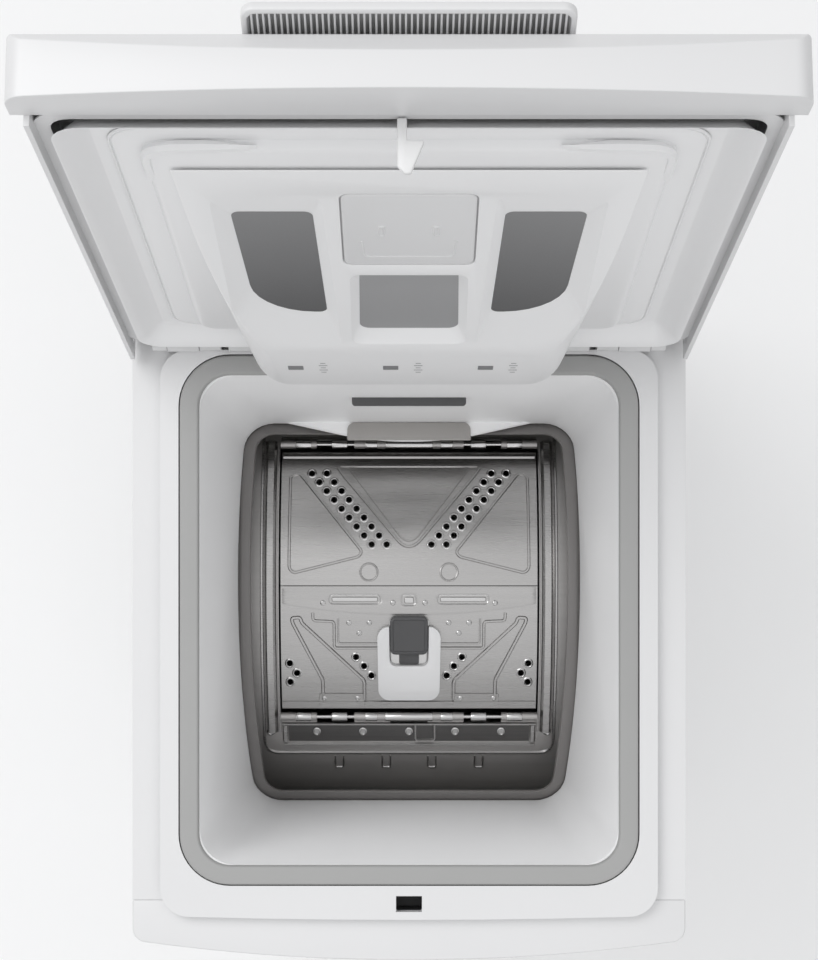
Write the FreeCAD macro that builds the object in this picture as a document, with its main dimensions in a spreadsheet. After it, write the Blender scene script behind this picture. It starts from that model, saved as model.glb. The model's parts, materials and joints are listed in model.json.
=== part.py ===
"""Top-loading washing machine with a cross-mounted drum, modelled with its lid standing open.

Millimetres. +X is to the user's right, -Y is the front and +Z is up. The origin is on the floor,
under the middle of the machine. Pieces of the lid are drawn shut and then turned open.
"""
import FreeCAD, Part
import math
import os
import Sketcher

from FreeCAD import Placement, Rotation, Vector

doc = FreeCAD.newDocument("top_load_washing_machine")
sheet = doc.addObject("Spreadsheet::Sheet", "sizes")

SIZES = {
    # cabinet
    "cabinet_width": 386, "cabinet_depth": 600, "ledge_height": 843, "front_bow": 12.5,
    "corner_radius": 10, "split_depth": 42.5, "sheet_metal": 1, "flange_width": 14,
    "rear_recess": 12, "panel_bottom": 24, "fixed_gap": 0.5, "trim_height": 36.5, "trim_wall": 3,
    "base_bottom": 18, "base_top": 62, "rail_width": 30, "beam_width": 40,
    "foot_radius": 20, "foot_stud": 5, "foot_inset": 32, "running_gap": 0.05,
    "flap_width": 120, "flap_height": 116, "flap_bottom": 44, "flap_wall": 2.5, "moving_gap": 1,
    "screw_radius": 3.5, "screw_head": 2,
    # top cover, throat and seal
    "cover_plate": 4, "cover_rise": 8, "cover_wall": 3, "side_ledge": 20.3, "front_ledge": 31.5,
    "raised_bow": 2.1, "raised_corner": 20, "hinge_setback": 168.6, "hinge_height": 15,
    "raised_to_hinge": 6.4, "seal_band": 14, "seal_rise": 1, "seal_inset": 13.2, "seal_corner": 36,
    "throat_front": 36, "throat_rear": 24, "throat_corner": 24, "throat_wall": 3, "throat_flange": 4,
    "throat_drop": 228, "throat_taper": 32.5, "throat_front_taper": 37.5, "throat_rear_taper": 27.4,
    "tab_width": 94, "tab_drop": 106, "tab_tall": 22, "tab_reach": 12,
    "hook_passage": 18, "passage_depth": 11, "lock_height": 27, "lock_width": 66, "hook_inset": 6,
    # lid
    "open_angle": 98.84, "lid_top": 28, "skirt_bottom": 12, "lid_wall": 3, "lid_rear": 8.6, "cap_depth": 22.3,
    "barrel_radius": 8.6, "pin_radius": 3, "barrel_reach": 124.2, "knuckle_inner": 129.7,
    "knuckle_split": 144.2, "knuckle_outer": 166.9, "knuckle_end": 176.7, "cap_overhang": 7,
    "cap_bottom": 6.5, "cap_face": 12, "cap_bevel": 21, "lid_bow": 11.7, "lip_width": 166, "lip_depth": 31,
    "lip_wall": 5, "lip_tilt": 15.6, "plateau": 5.5, "liner_wall": 2.5, "hook_drop": 35, "hook_wall": 3,
    # dispenser
    "tray_start": 30, "tray_flat": 92, "tray_depth": 41, "tray_wall": 2.2, "tray_lead": 106,
    "tray_narrow": 88, "tray_wide": 65, "bowl_inset": 28, "softener_half": 31.5, "flap_half": 38,
    "draw_gap": 0.6, "tray_partition": 52, "partition_margin": 3,
    # tub and drum
    "drum_forward": 30, "tub_clearance": 13.5, "tub_below_ledge": 125, "tub_wall": 3, "tub_to_drum": 15,
    "drum_wall": 1.2, "tub_side_gap": 29, "tub_end_wall": 4, "drum_side_gap": 12.8, "frame_margin": 46,
    "tub_travel": 12, "gasket_wall": 6, "door_half_chord": 102.3, "hinge_half_chord": 106,
    "hinge_stand": 2, "door_meet": 5, "door_gap": 0.4, "drum_pin": 1.5, "knuckle_wall": 1.6,
    "shaft_radius": 10, "bearing_radius": 20, "bearing_width": 12, "hub_radius": 30, "spider_radius": 60,
    "drum_pulley_radius": 132, "motor_pulley_radius": 11, "belt_wall": 3, "belt_width": 8, "belt_gap": 0.3,
    "pulley_width": 10, "pulley_from_side": 14, "lifter_height": 48, "lifter_base": 52,
    "lifter_side_gap": 16, "sump_depth": 27, "sump_half": 60, "heater_radius": 4,
    "motor_radius": 60, "rotor_radius": 40, "motor_shaft": 8, "motor_across": 158, "motor_below": 274,
    "motor_half": 80, "strut_front": 100, "strut_rear": 90, "strut_inset": 46, "spring_radius": 13,
    "spring_wire": 2, "spring_pitch": 17, "ear_height": 14,
    # drum latch
    "latch_half": 24.6, "latch_front": 92, "latch_rear": 35, "latch_rise": 7, "button_half": 14.7,
    "button_front": 56, "button_rear": 27.5, "button_travel": 8,
    # rear console
    "console_gap": 32.1, "console_rise": 53, "fascia_step": 27, "fascia_tilt": 16.1, "fascia_wall": 3,
    "fascia_depth": 84, "fascia_margin": 23, "knob_radius": 24, "knob_height": 18, "knob_stem": 4,
    "button_width": 18, "button_depth": 9, "button_stroke": 1.5, "window_width": 60, "window_depth": 26,
    # pump, water and power
    "pump_across": 98, "filter_height": 95, "filter_radius": 32, "filter_wall": 4, "volute_radius": 40,
    "impeller_radius": 24, "hose_radius": 13, "hose_wall": 3, "inlet_radius": 13.2, "inlet_across": 140,
    "inlet_drop": 63, "outlet_radius": 10, "outlet_wall": 2.5, "outlet_drop": 83, "gland_radius": 12, "cord_bore": 4.5,
    "gland_drop": 143,
}


class Size(float):
    """A number that also knows the spreadsheet formula it comes from."""

    def __new__(cls, value, formula):
        made = super().__new__(cls, value)
        made.formula = formula
        return made

    def _join(self, other, sign, result, swapped=False):
        left, right = (text(other), self.formula) if swapped else (self.formula, text(other))
        return Size(result, f"({left} {sign} {right})")

    def __add__(self, other):
        return self._join(other, "+", float(self) + float(other))

    def __radd__(self, other):
        return self._join(other, "+", float(other) + float(self), True)

    def __sub__(self, other):
        return self._join(other, "-", float(self) - float(other))

    def __rsub__(self, other):
        return self._join(other, "-", float(other) - float(self), True)

    def __mul__(self, other):
        return self._join(other, "*", float(self) * float(other))

    def __rmul__(self, other):
        return self._join(other, "*", float(other) * float(self), True)

    def __truediv__(self, other):
        return self._join(other, "/", float(self) / float(other))

    def __neg__(self):
        return Size(-float(self), f"(0 - {self.formula})")


def text(value):
    return value.formula if isinstance(value, Size) else repr(round(float(value), 6))


def root(value):
    return Size(math.sqrt(value), f"sqrt({text(value)})")


def fill_sheet():
    """Write every driving size into its own named cell and return them as sizes."""
    found = {}
    for row, (alias, value) in enumerate(SIZES.items(), start=1):
        sheet.set(f"A{row}", alias.replace("_", " "))
        sheet.set(f"B{row}", str(value))
        sheet.setAlias(f"B{row}", alias)
        found[alias] = Size(value, f"sizes.{alias}")
    doc.recompute()
    return found


class Named:
    """The sizes as attributes, so that a formula reads like a sentence."""

    def __init__(self, found):
        self.__dict__.update(found)


s = Named(fill_sheet())

# places that several pieces share
half = s.cabinet_width / 2
inside = half - s.sheet_metal
front = -s.cabinet_depth / 2
split = front + s.split_depth
front_corner = front + s.front_bow
rear = s.cabinet_depth / 2 - s.rear_recess
raised_top = s.ledge_height + s.cover_rise
raised_half = half - s.side_ledge
raised_front = front + s.front_ledge
hinge_y = s.cabinet_depth / 2 - s.hinge_setback
hinge_z = s.ledge_height + s.hinge_height
raised_rear = hinge_y - s.raised_to_hinge
seal_half = raised_half - s.seal_inset
seal_front = raised_front + s.throat_front - s.seal_band
seal_rear = hinge_y - s.throat_rear + s.seal_band
throat_half = seal_half - s.seal_band
throat_front = raised_front + s.throat_front
throat_rear = hinge_y - s.throat_rear
lid_reach = hinge_y - front - 0.4
cap_side = lid_reach - s.lid_bow
lid_body = cap_side - s.cap_depth
hook_setback = lid_body - s.hook_inset
drum_y = -s.drum_forward
tub_radius = -front - s.front_bow - s.sheet_metal - s.tub_clearance - s.drum_forward
drum_z = s.ledge_height - s.tub_below_ledge - tub_radius
tub_inner = tub_radius - s.tub_wall
drum_radius = tub_inner - s.tub_to_drum
tub_half = half - s.tub_side_gap - s.tub_end_wall
tub_face = tub_half + s.tub_end_wall
drum_half = tub_half - s.drum_side_gap - s.drum_wall
door_half = drum_half - s.frame_margin
hinge_radius = drum_radius + s.hinge_stand
hinge_up = root(hinge_radius * hinge_radius - s.hinge_half_chord * s.hinge_half_chord)
motor_y = drum_y + s.motor_across
motor_z = drum_z - s.motor_below
pulley_plane = half - s.pulley_from_side
ARC_CORNER = 1 - math.sqrt(0.5)
CUT_MARGIN = 5
PLANES = {"XY": "XY_Plane", "XZ": "XZ_Plane", "YZ": "YZ_Plane"}
TURNS = {"X": Rotation(Vector(0, 1, 0), 90), "Y": Rotation(Vector(1, 0, 0), -90), "Z": Rotation()}
NODES = {}


def bind(thing, prop, value):
    thing.setExpression(prop, text(value))


def place(thing, position):
    for letter, value in zip("xyz", position):
        bind(thing, f"Placement.Base.{letter}", value)
    return thing


def node(name, thing):
    """Register a finished sub-part under its own label."""
    thing.Label = name
    NODES[name] = thing
    return thing


def box(name, low, high):
    made = doc.addObject("Part::Box", name)
    for prop, a, b in zip(("Length", "Width", "Height"), low, high):
        bind(made, prop, b - a)
    return place(made, low)


def cylinder(name, axis, radius, centre, start, end):
    """A cylinder along an axis; centre holds the other two coordinates, in X, Y, Z order."""
    made = doc.addObject("Part::Cylinder", name)
    bind(made, "Radius", radius)
    bind(made, "Height", end - start)
    made.Placement = Placement(Vector(), TURNS[axis])
    a, b = centre
    return place(made, {"X": (start, a, b), "Y": (a, start, b), "Z": (a, b, start)}[axis])


def cut(name, base, *tools):
    for count, tool in enumerate(tools, start=1):
        made = doc.addObject("Part::Cut", name if count == len(tools) else f"{name}_step")
        made.Base, made.Tool = base, tool
        base = made
    return base


def fuse(name, *shapes):
    made = doc.addObject("Part::MultiFuse", name)
    made.Shapes = list(shapes)
    made.Refine = True
    return made


def common(name, first, second):
    made = doc.addObject("Part::Common", name)
    made.Base, made.Tool = first, second
    return made


def group(name, pieces):
    made = doc.addObject("Part::Compound", name)
    made.Links = list(pieces)
    return made


def solid(name, shape):
    made = doc.addObject("Part::Feature", name)
    made.Shape = shape
    return made


def rounded_edges(name, base, radius, wanted):
    """Round the edges of a solid for which wanted(edge) is true."""
    doc.recompute()
    made = doc.addObject("Part::Fillet", name)
    made.Base = base
    picked = [n for n, edge in enumerate(base.Shape.Edges, start=1) if wanted(edge)]
    made.Edges = [(n, float(radius), float(radius)) for n in picked]
    return made


def rounded(low, high, radius):
    """A rectangle with quarter-round corners, anticlockwise."""
    (x0, y0), (x1, y1), bulge = low, high, radius * ARC_CORNER
    return [(x0 + radius, y0), (x1 - radius, y0, bulge), (x1, y0 + radius), (x1, y1 - radius, bulge),
            (x1 - radius, y1), (x0 + radius, y1, bulge), (x0, y1 - radius), (x0, y0 + radius, bulge)]


def outline(sketch, points):
    """Draw a closed outline with every corner tied to the sheet. A third value makes that side an arc."""
    count = len(points)
    for i, point in enumerate(points):
        a = Vector(float(point[0]), float(point[1]), 0)
        b = Vector(float(points[(i + 1) % count][0]), float(points[(i + 1) % count][1]), 0)
        if len(point) == 3:
            side = (b - a).normalize()
            middle = (a + b) * 0.5 + Vector(side.y, -side.x, 0) * float(point[2])
            sketch.addGeometry(Part.Arc(a, middle, b), False)
        else:
            sketch.addGeometry(Part.LineSegment(a, b), False)
    ends = [(1, 2) if len(p) < 3 or float(p[2]) > 0 else (2, 1) for p in points]
    for i in range(count):
        after = (i + 1) % count
        sketch.addConstraint(Sketcher.Constraint("Coincident", i, ends[i][1], after, ends[after][0]))
    for i, point in enumerate(points):
        for kind, value in zip(("DistanceX", "DistanceY"), point):
            index = sketch.addConstraint(Sketcher.Constraint(kind, -1, 1, i, ends[i][0], float(value)))
            sketch.setExpression(f"Constraints[{index}]", text(value))
        if len(point) == 3:
            following = points[(i + 1) % count]
            run, climb, bulge = following[0] - point[0], following[1] - point[1], point[2]
            bulge = bulge if float(bulge) > 0 else -bulge
            radius = ((run * run + climb * climb) / 4 + bulge * bulge) / (2 * bulge)
            index = sketch.addConstraint(Sketcher.Constraint("Radius", i, float(radius)))
            sketch.setExpression(f"Constraints[{index}]", text(radius))
    return sketch


def body_sketch(body, name, plane, points, offset):
    sketch = body.newObject("Sketcher::SketchObject", name)
    support = next(f for f in body.Origin.OriginFeatures if f.Role == PLANES[plane])
    sketch.AttachmentSupport = [(support, "")]
    sketch.MapMode = "FlatFace"
    bind(sketch, "AttachmentOffset.Base.z", offset)
    return outline(sketch, points)


def prism(name, plane, points, low, high):
    """A body padded from an outline between two levels along the plane's own axis."""
    body = doc.addObject("PartDesign::Body", name)
    return add_pad(body, name, plane, points, low, high)


def add_pad(body, name, plane, points, low, high):
    offset = -high if plane == "XZ" else low
    pad = body.newObject("PartDesign::Pad", f"{name}_pad")
    pad.Profile = body_sketch(body, f"{name}_outline", plane, points, offset)
    bind(pad, "Length", high - low)
    body.Tip = pad
    return body


def add_pocket(body, name, plane, points, low, high):
    """Remove the outline between two levels."""
    pocket = body.newObject("PartDesign::Pocket", f"{name}_pocket")
    pocket.Profile = body_sketch(body, f"{name}_hole", plane, points, -high if plane == "XZ" else low)
    pocket.Reversed = True
    bind(pocket, "Length", high - low)
    body.Tip = pocket
    return body


def turned(name, axis, points):
    """A body turned about X or Z from an outline: (x, radius) about X, (radius, z) about Z."""
    body = doc.addObject("PartDesign::Body", name)
    sketch = body_sketch(body, f"{name}_outline", "XZ", points, 0.0)
    turn = body.newObject("PartDesign::Revolution", f"{name}_turn")
    turn.Profile = sketch
    turn.ReferenceAxis = (sketch, ["H_Axis" if axis == "X" else "V_Axis"])
    turn.Angle = 360
    body.Tip = turn
    return body


def loft(name, sections):
    """A ruled solid through flat outlines at different heights: [(z, points), ...]."""
    sketches = []
    for z, points in sections:
        sketch = doc.addObject("Sketcher::SketchObject", f"{name}_section")
        bind(sketch, "Placement.Base.z", z)
        sketches.append(outline(sketch, points))
    made = doc.addObject("Part::Loft", name)
    made.Sections = sketches
    made.Solid, made.Ruled = True, True
    return made


def mirrored(name, source, sign):
    """The right-hand piece itself, or its reflection for the left."""
    if sign > 0:
        return source
    made = doc.addObject("Part::Mirroring", f"{name}_mirror")
    made.Source = source
    made.Normal = Vector(1, 0, 0)
    return made


# cabinet -------------------------------------------------------------------------------------------
def bow_points(side, back, nose, radius):
    """Outline of the bowed front between its two sides, from the back line to the nose."""
    bulge = radius * ARC_CORNER
    return [(-side, back), (-side, nose + radius, bulge), (-side + radius, nose, s.front_bow),
            (side - radius, nose, bulge), (side, nose + radius), (side, back)]


def bow_shell(name, wall, low, high, roof=0.0):
    body = prism(name, "XY", bow_points(half, split, front_corner, s.corner_radius), low, high)
    inner = bow_points(half - wall, split + CUT_MARGIN, front_corner + wall, s.corner_radius - wall)
    return add_pocket(body, name, "XY", inner, low - 1, high - roof if roof else high + 1)


def side_panel(name, sign):
    lip, thin = s.flange_width, s.sheet_metal
    nose = split + s.fixed_gap
    points = [(half, nose), (half, rear), (half - lip, rear), (half - lip, rear - thin),
              (inside, rear - thin), (inside, nose + thin), (half - lip, nose + thin), (half - lip, nose)]
    panel = prism(f"{name}_sheet", "XY", points, s.panel_bottom, s.ledge_height - s.cover_plate)
    node(name, mirrored(name, panel, sign))


def flap_box(name, gap):
    left = s.pump_across - s.flap_width / 2
    return box(name, (left - gap, front - CUT_MARGIN, s.flap_bottom - gap),
               (left + s.flap_width + gap, split, s.flap_bottom + s.flap_height + gap))


def front_panel():
    shell = bow_shell("front_sheet", s.sheet_metal, s.panel_bottom, s.ledge_height - s.trim_height - s.fixed_gap)
    node("front_panel", cut("front_panel", shell, flap_box("flap_opening", s.moving_gap)))


def filter_flap():
    skin = bow_shell("flap_sheet", s.flap_wall, s.flap_bottom, s.flap_bottom + s.flap_height)
    node("filter_flap", common("filter_flap", skin, flap_box("flap_limits", 0.0)))


def hook_hole(name, bottom):
    across, centre = s.hook_passage / 2, hinge_y - hook_setback
    return box(name, (-across, centre - s.passage_depth / 2, bottom),
               (across, centre + s.passage_depth / 2, raised_top + 1))


def front_trim():
    shell = bow_shell("trim_shell", s.trim_wall, s.ledge_height - s.trim_height, s.ledge_height, s.trim_wall)
    hole = hook_hole("trim_hook_hole", s.ledge_height - s.trim_wall - 1)
    node("front_trim", cut("front_trim", shell, hole))


def rear_panel():
    side = inside - s.flange_width
    plate = prism("rear_sheet", "XZ", [(-side, s.base_top), (side, s.base_top),
                  (side, s.ledge_height - s.cover_plate), (-side, s.ledge_height - s.cover_plate)],
                  rear - s.sheet_metal, rear)
    holes = [cylinder("inlet_hole", "Y", s.inlet_radius + 1, (-s.inlet_across, s.ledge_height - s.inlet_drop),
                      rear - 2, rear + 1),
             cylinder("outlet_hole", "Y", s.outlet_radius + 1, (s.inlet_across, s.ledge_height - s.outlet_drop),
                      rear - 2, rear + 1),
             cylinder("cord_hole", "Y", s.gland_radius - 3, (s.inlet_across, s.ledge_height - s.gland_drop),
                      rear - 2, rear + 1)]
    node("rear_panel", cut("rear_panel", plate, *holes))


def base_frame():
    side, nose, back = inside - s.fixed_gap, split + 2 * s.fixed_gap + s.sheet_metal, rear - 1.5
    low, high, rail = s.base_bottom, s.base_top, s.rail_width
    frame = prism("base_ring", "XY", [(-side, nose), (side, nose), (side, back), (-side, back)], low, high)
    beams = [drum_y - s.strut_front, drum_y + s.strut_rear]
    edges = [nose + rail, beams[0] - s.beam_width / 2, beams[0] + s.beam_width / 2,
             beams[1] - s.beam_width / 2, beams[1] + s.beam_width / 2, back - rail]
    for count in range(3):
        near, far = edges[2 * count], edges[2 * count + 1]
        hole = [(-side + rail, near), (side - rail, near), (side - rail, far), (-side + rail, far)]
        add_pocket(frame, f"bay_{count}", "XY", hole, low - 1, high + 1)
    studs = [cylinder(f"foot_bore_{n}", "Z", s.foot_stud + s.running_gap, spot, low - 1, low + 32)
             for n, spot in enumerate(front_feet())]
    node("base_frame", cut("base_frame", frame, *studs))


def front_feet():
    spot_y = split + s.foot_inset / 2
    return [(-half + s.foot_inset, spot_y), (half - s.foot_inset, spot_y)]


def foot_points(stud_top):
    pad, step = s.foot_radius, 6
    return [(0, 0), (pad - 1.5, 0), (pad, 1.5), (pad, step), (pad - 6, step + 4), (8, step + 5),
            (s.foot_stud, step + 5), (s.foot_stud, stud_top), (0, stud_top)]


def feet():
    for name, (x, y) in zip(("front_foot_left", "front_foot_right"), front_feet()):
        foot = turned(f"{name}_turned", "Z", foot_points(s.base_bottom + 30))
        place(foot, (x, y, 0))
        node(name, foot)
    pads = []
    for n, sign in enumerate((-1, 1)):
        pad = turned(f"rear_pad_{n}", "Z", [(0, 0), (s.foot_radius - 2, 0), (s.foot_radius, 2),
                     (s.foot_radius - 4, s.base_bottom), (0, s.base_bottom)])
        pads.append(place(pad, (sign * (half - s.foot_inset), rear - s.foot_inset, 0)))
    node("rear_feet", group("rear_feet", pads))


def cabinet_screws():
    """Pan-head screws that hold the rear panel to the side panels and the base."""
    screws = []
    side = inside - s.flange_width - 10
    rows = [s.base_top + 20, s.ledge_height / 3, 2 * s.ledge_height / 3, s.ledge_height - 30]
    for sign in (-1, 1):
        for z in rows:
            screws.append(cylinder(f"cabinet_screw_{len(screws)}", "Y", s.screw_radius, (sign * side, z),
                                   rear, rear + s.screw_head))
    node("cabinet_screws", group("cabinet_screws", screws))


# top cover and throat --------------------------------------------------------------------------------
def raised_points(inset=0.0):
    radius, bulge = s.raised_corner - inset, (s.raised_corner - inset) * ARC_CORNER
    x, y0, y1 = raised_half - inset, raised_front + inset, raised_rear - inset
    return [(-x + radius, y0, s.raised_bow), (x - radius, y0, bulge), (x, y0 + radius), (x, y1 - radius, bulge),
            (x - radius, y1), (-x + radius, y1, bulge), (-x, y1 - radius), (-x, y0 + radius, bulge)]


def knuckle(name, sign, near, far):
    """One hinge eye of the cover, standing on its own post."""
    a, b = (near, far) if sign > 0 else (-far, -near)
    eye = cylinder(f"{name}_eye", "X", s.barrel_radius - 0.6, (hinge_y, hinge_z), a, b)
    post = box(f"{name}_post", (a, hinge_y - 6, s.ledge_height - 1), (b, hinge_y + 6, hinge_z))
    return [eye, post]


def top_cover():
    base = s.ledge_height - s.cover_plate
    back = rear + s.rear_recess - 1
    plate = prism("cover_body", "XY", [(-half, split), (half, split), (half, back), (-half, back)],
                  base, s.ledge_height)
    add_pad(plate, "raised", "XY", raised_points(), s.ledge_height, raised_top)
    inner = [(-raised_half + 12, split + 6), (raised_half - 12, split + 6),
             (raised_half - 12, raised_rear - 4), (-raised_half + 12, raised_rear - 4)]
    add_pocket(plate, "hollow", "XY", inner, base - 1, raised_top - s.cover_wall)
    gap = s.fixed_gap
    mouth = rounded((-seal_half - gap, seal_front - gap), (seal_half + gap, seal_rear + gap), s.seal_corner)
    add_pocket(plate, "mouth", "XY", mouth, base - 1, raised_top + 1)
    eyes = []
    for sign, side in ((-1, "left"), (1, "right")):
        eyes += knuckle(f"inner_eye_{side}", sign, s.knuckle_inner, s.knuckle_split)
        eyes += knuckle(f"outer_eye_{side}", sign, s.knuckle_outer, s.knuckle_end)
    whole = fuse("cover_with_eyes", plate, *eyes)
    bore = cylinder("cover_pin_bore", "X", s.pin_radius, (hinge_y, hinge_z), -half, half)
    node("top_cover", cut("top_cover", whole, bore, hook_hole("cover_hook_hole", base - 1)))


def lid_hinge_pins():
    pins = [cylinder(f"lid_pin_{n}", "X", s.pin_radius, (hinge_y, hinge_z), a, b)
            for n, (a, b) in enumerate(((-s.knuckle_end, -s.knuckle_inner), (s.knuckle_inner, s.knuckle_end)))]
    node("lid_hinge_pins", group("lid_hinge_pins", pins))


def throat_section(inset, at_bottom):
    drop = 1 if at_bottom else 0
    x = throat_half - s.throat_taper * drop + inset
    y0 = throat_front + s.throat_front_taper * drop - inset
    y1 = throat_rear - s.throat_rear_taper * drop + inset
    return rounded((-x, y0), (x, y1), s.throat_corner - 4 * drop + inset)


def around_tub(name, radius, reach):
    return cylinder(name, "X", radius, (drum_y, drum_z), -reach, reach)


def throat_well():
    top = raised_top - s.throat_wall
    bottom = top - s.throat_drop
    skin = loft("throat_skin", [(bottom, throat_section(s.throat_wall, True)),
                                (top, throat_section(s.throat_wall, False))])
    flange = prism("throat_rim", "XY", rounded((-seal_half, seal_front), (seal_half, seal_rear),
                   s.seal_corner - s.fixed_gap), top - s.throat_flange, top)
    tab_y = throat_rear - s.throat_rear_taper * (s.tab_drop / s.throat_drop)
    tab = box("throat_tab", (-s.tab_width / 2, tab_y - s.tab_reach, top - s.tab_drop - s.tab_tall),
              (s.tab_width / 2, tab_y + s.throat_wall / 2, top - s.tab_drop))
    hollow = loft("throat_hollow", [(bottom, throat_section(0.0, True)), (top, throat_section(0.0, False))])
    tunnel = around_tub("throat_tub_clearance", tub_radius + s.tub_travel, half)
    ring = cut("throat_ring", fuse("throat_outer", skin, flange), hollow)
    node("throat_well", cut("throat_well", fuse("throat_with_tab", ring, tab), tunnel))


def lid_seal():
    seat = raised_top - s.throat_wall
    outer = rounded((-seal_half, seal_front), (seal_half, seal_rear), s.seal_corner - s.fixed_gap)
    ring = prism("lid_seal", "XY", outer, seat, raised_top + s.seal_rise)
    inner = rounded((-throat_half, throat_front), (throat_half, throat_rear), s.throat_corner)
    node("lid_seal", add_pocket(ring, "seal_mouth", "XY", inner, seat - 1, raised_top + s.seal_rise + 1))


def lid_lock():
    top = s.ledge_height - s.cover_plate
    centre = hinge_y - hook_setback
    case = box("lock_case", (-s.lock_width / 2, centre - 7.5, top - s.lock_height),
               (s.lock_width / 2, centre + 7.5, top - s.fixed_gap))
    node("lid_lock", cut("lid_lock", case, hook_hole("lock_cavity", top - s.lock_height + 4)))


# lid: drawn shut with u forward from the hinge, then turned open ----------------------------------------
def lid_frame():
    turn = Rotation(Vector(1, 0, 0), -float(s.open_angle))
    return Placement(Vector(), turn, Vector(0, float(hinge_y), float(hinge_z)))


def turned_open(name, thing):
    """Swing a shut lid piece to the open position."""
    thing.Placement = lid_frame().multiply(thing.Placement)
    return node(name, thing)


def lid_box(name, side, u0, u1, v0, v1):
    return box(name, (-side, hinge_y - u1, hinge_z + v0), (side, hinge_y - u0, hinge_z + v1))


def lid_shell():
    outer = lid_box("shell_block", half, -s.lid_rear, lid_body, -s.skirt_bottom, s.lid_top)

    def crown(edge):
        low, high = edge.BoundBox.ZMin, edge.BoundBox.ZMax
        return low > hinge_z + s.lid_top - 0.1 and high - low < 0.1 and edge.BoundBox.YMax > hinge_y - lid_body + 1

    crowned = rounded_edges("shell_crowned", outer, 7, crown)
    wall = s.lid_wall
    hollow = lid_box("shell_hollow", half - wall, -s.lid_rear + wall, lid_body - wall,
                     -s.skirt_bottom - 1, s.lid_top - wall)
    under = lid_box("shell_under", half - wall, -s.lid_rear - 1, lid_body + 1, -s.skirt_bottom - 1, 0)
    barrels = [cylinder("barrel_middle", "X", s.barrel_radius, (hinge_y, hinge_z),
                        -s.barrel_reach, s.barrel_reach)]
    for n, sign in enumerate((-1, 1)):
        a, b = sorted((sign * (s.knuckle_split + s.fixed_gap), sign * (s.knuckle_outer - s.fixed_gap)))
        barrels.append(cylinder(f"barrel_{n}", "X", s.barrel_radius, (hinge_y, hinge_z), a, b))
    shell = cut("shell_open", crowned, hollow, under)
    notches = []
    for n, sign in enumerate((-1, 1)):
        for k, (near, far) in enumerate(((s.barrel_reach, s.knuckle_split + s.fixed_gap),
                                         (s.knuckle_outer - s.fixed_gap, half - wall))):
            a, b = sorted((sign * near, sign * far))
            notches.append(box(f"shell_notch_{n}{k}", (a, hinge_y - 14, hinge_z - 14),
                               (b, hinge_y + s.lid_rear + 1, hinge_z + 12)))
    whole = fuse("shell_with_barrels", cut("shell_notched", shell, *notches), *barrels)
    bore = cylinder("lid_pin_bore", "X", s.pin_radius + s.running_gap, (hinge_y, hinge_z), -half, half)
    turned_open("lid_shell", cut("lid_shell_shut", whole, bore))


def lid_inner():
    p, wall = s.plateau, s.liner_wall
    skirt, rim = half - 10, half - 36.5
    z = hinge_z
    lower = [(-skirt, z - 11.5), (-skirt + 2, z - 11.5), (-skirt + 17, z + 2), (-rim, z + 2), (-rim + 1, z - p),
             (rim - 1, z - p), (rim, z + 2), (skirt - 17, z + 2), (skirt - 2, z - 11.5), (skirt, z - 11.5)]
    upper = [(skirt, z - 9), (skirt - 16, z + 2 + wall), (rim - 2, z + 2 + wall), (rim - 3, z - p + wall),
             (-rim + 3, z - p + wall), (-rim + 2, z + 2 + wall), (-skirt + 16, z + 2 + wall), (-skirt, z - 9)]
    liner = prism("liner_shut", "XZ", lower + upper, hinge_y - lid_body + 7, hinge_y - 14)
    turned_open("lid_inner", liner)


def lid_cap():
    side, radius = half + s.cap_overhang, s.corner_radius
    back, nose = hinge_y - lid_body - 0.2, hinge_y - cap_side
    points = [(-side, back), (-side, nose + radius, radius * ARC_CORNER), (-side + radius, nose, s.lid_bow),
              (side - radius, nose, radius * ARC_CORNER), (side, nose + radius), (side, back)]
    block = prism("cap_block", "XY", points, hinge_z - s.cap_bottom, hinge_z + s.lid_top)
    tip = hinge_y - lid_reach - 1
    bevel = prism("cap_profile", "YZ", [(back + 1, hinge_z - s.cap_bottom - 1), (back + 1, hinge_z + s.lid_top + 1),
                  (nose + s.cap_bevel - s.lid_bow, hinge_z + s.lid_top + 1), (tip, hinge_z + s.cap_face),
                  (tip, hinge_z - s.cap_bottom - 1)], -side - 1, side + 1)
    shaped = common("cap_shaped", block, bevel)
    hollow = lid_box("cap_hollow", side - s.lid_wall, lid_body - 1, cap_side - s.lid_wall,
                     -s.cap_bottom + s.lid_wall, s.cap_face - 2)
    recess = lid_box("finger_recess", s.lip_width / 2, lid_body + 6, lid_reach + 2, s.cap_face + 2, s.lid_top + 1)
    lip = box("handle_lip", (-s.lip_width / 2, 0, -s.lip_wall), (s.lip_width / 2, s.lip_depth, 0))
    start = Vector(0, float(hinge_y) - float(lid_body), float(hinge_z) + float(s.lid_top) + 4)
    lip.setExpression("Placement.Base.x", None)
    for letter in "yz":
        lip.setExpression(f"Placement.Base.{letter}", None)
    lip.Placement = Placement(start, Rotation(Vector(0, 0, 1), 180)).multiply(
        Placement(Vector(-float(s.lip_width) / 2, 0, 0), Rotation(Vector(1, 0, 0), float(s.lip_tilt))))
    step = lid_box("lip_root", s.lip_width / 2, lid_body + 0.2, lid_body + 6, s.cap_face, s.lid_top + 1.5)
    whole = fuse("cap_whole", cut("cap_open", shaped, hollow, recess), lip, step)
    turned_open("lid_cap", whole)


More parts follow.
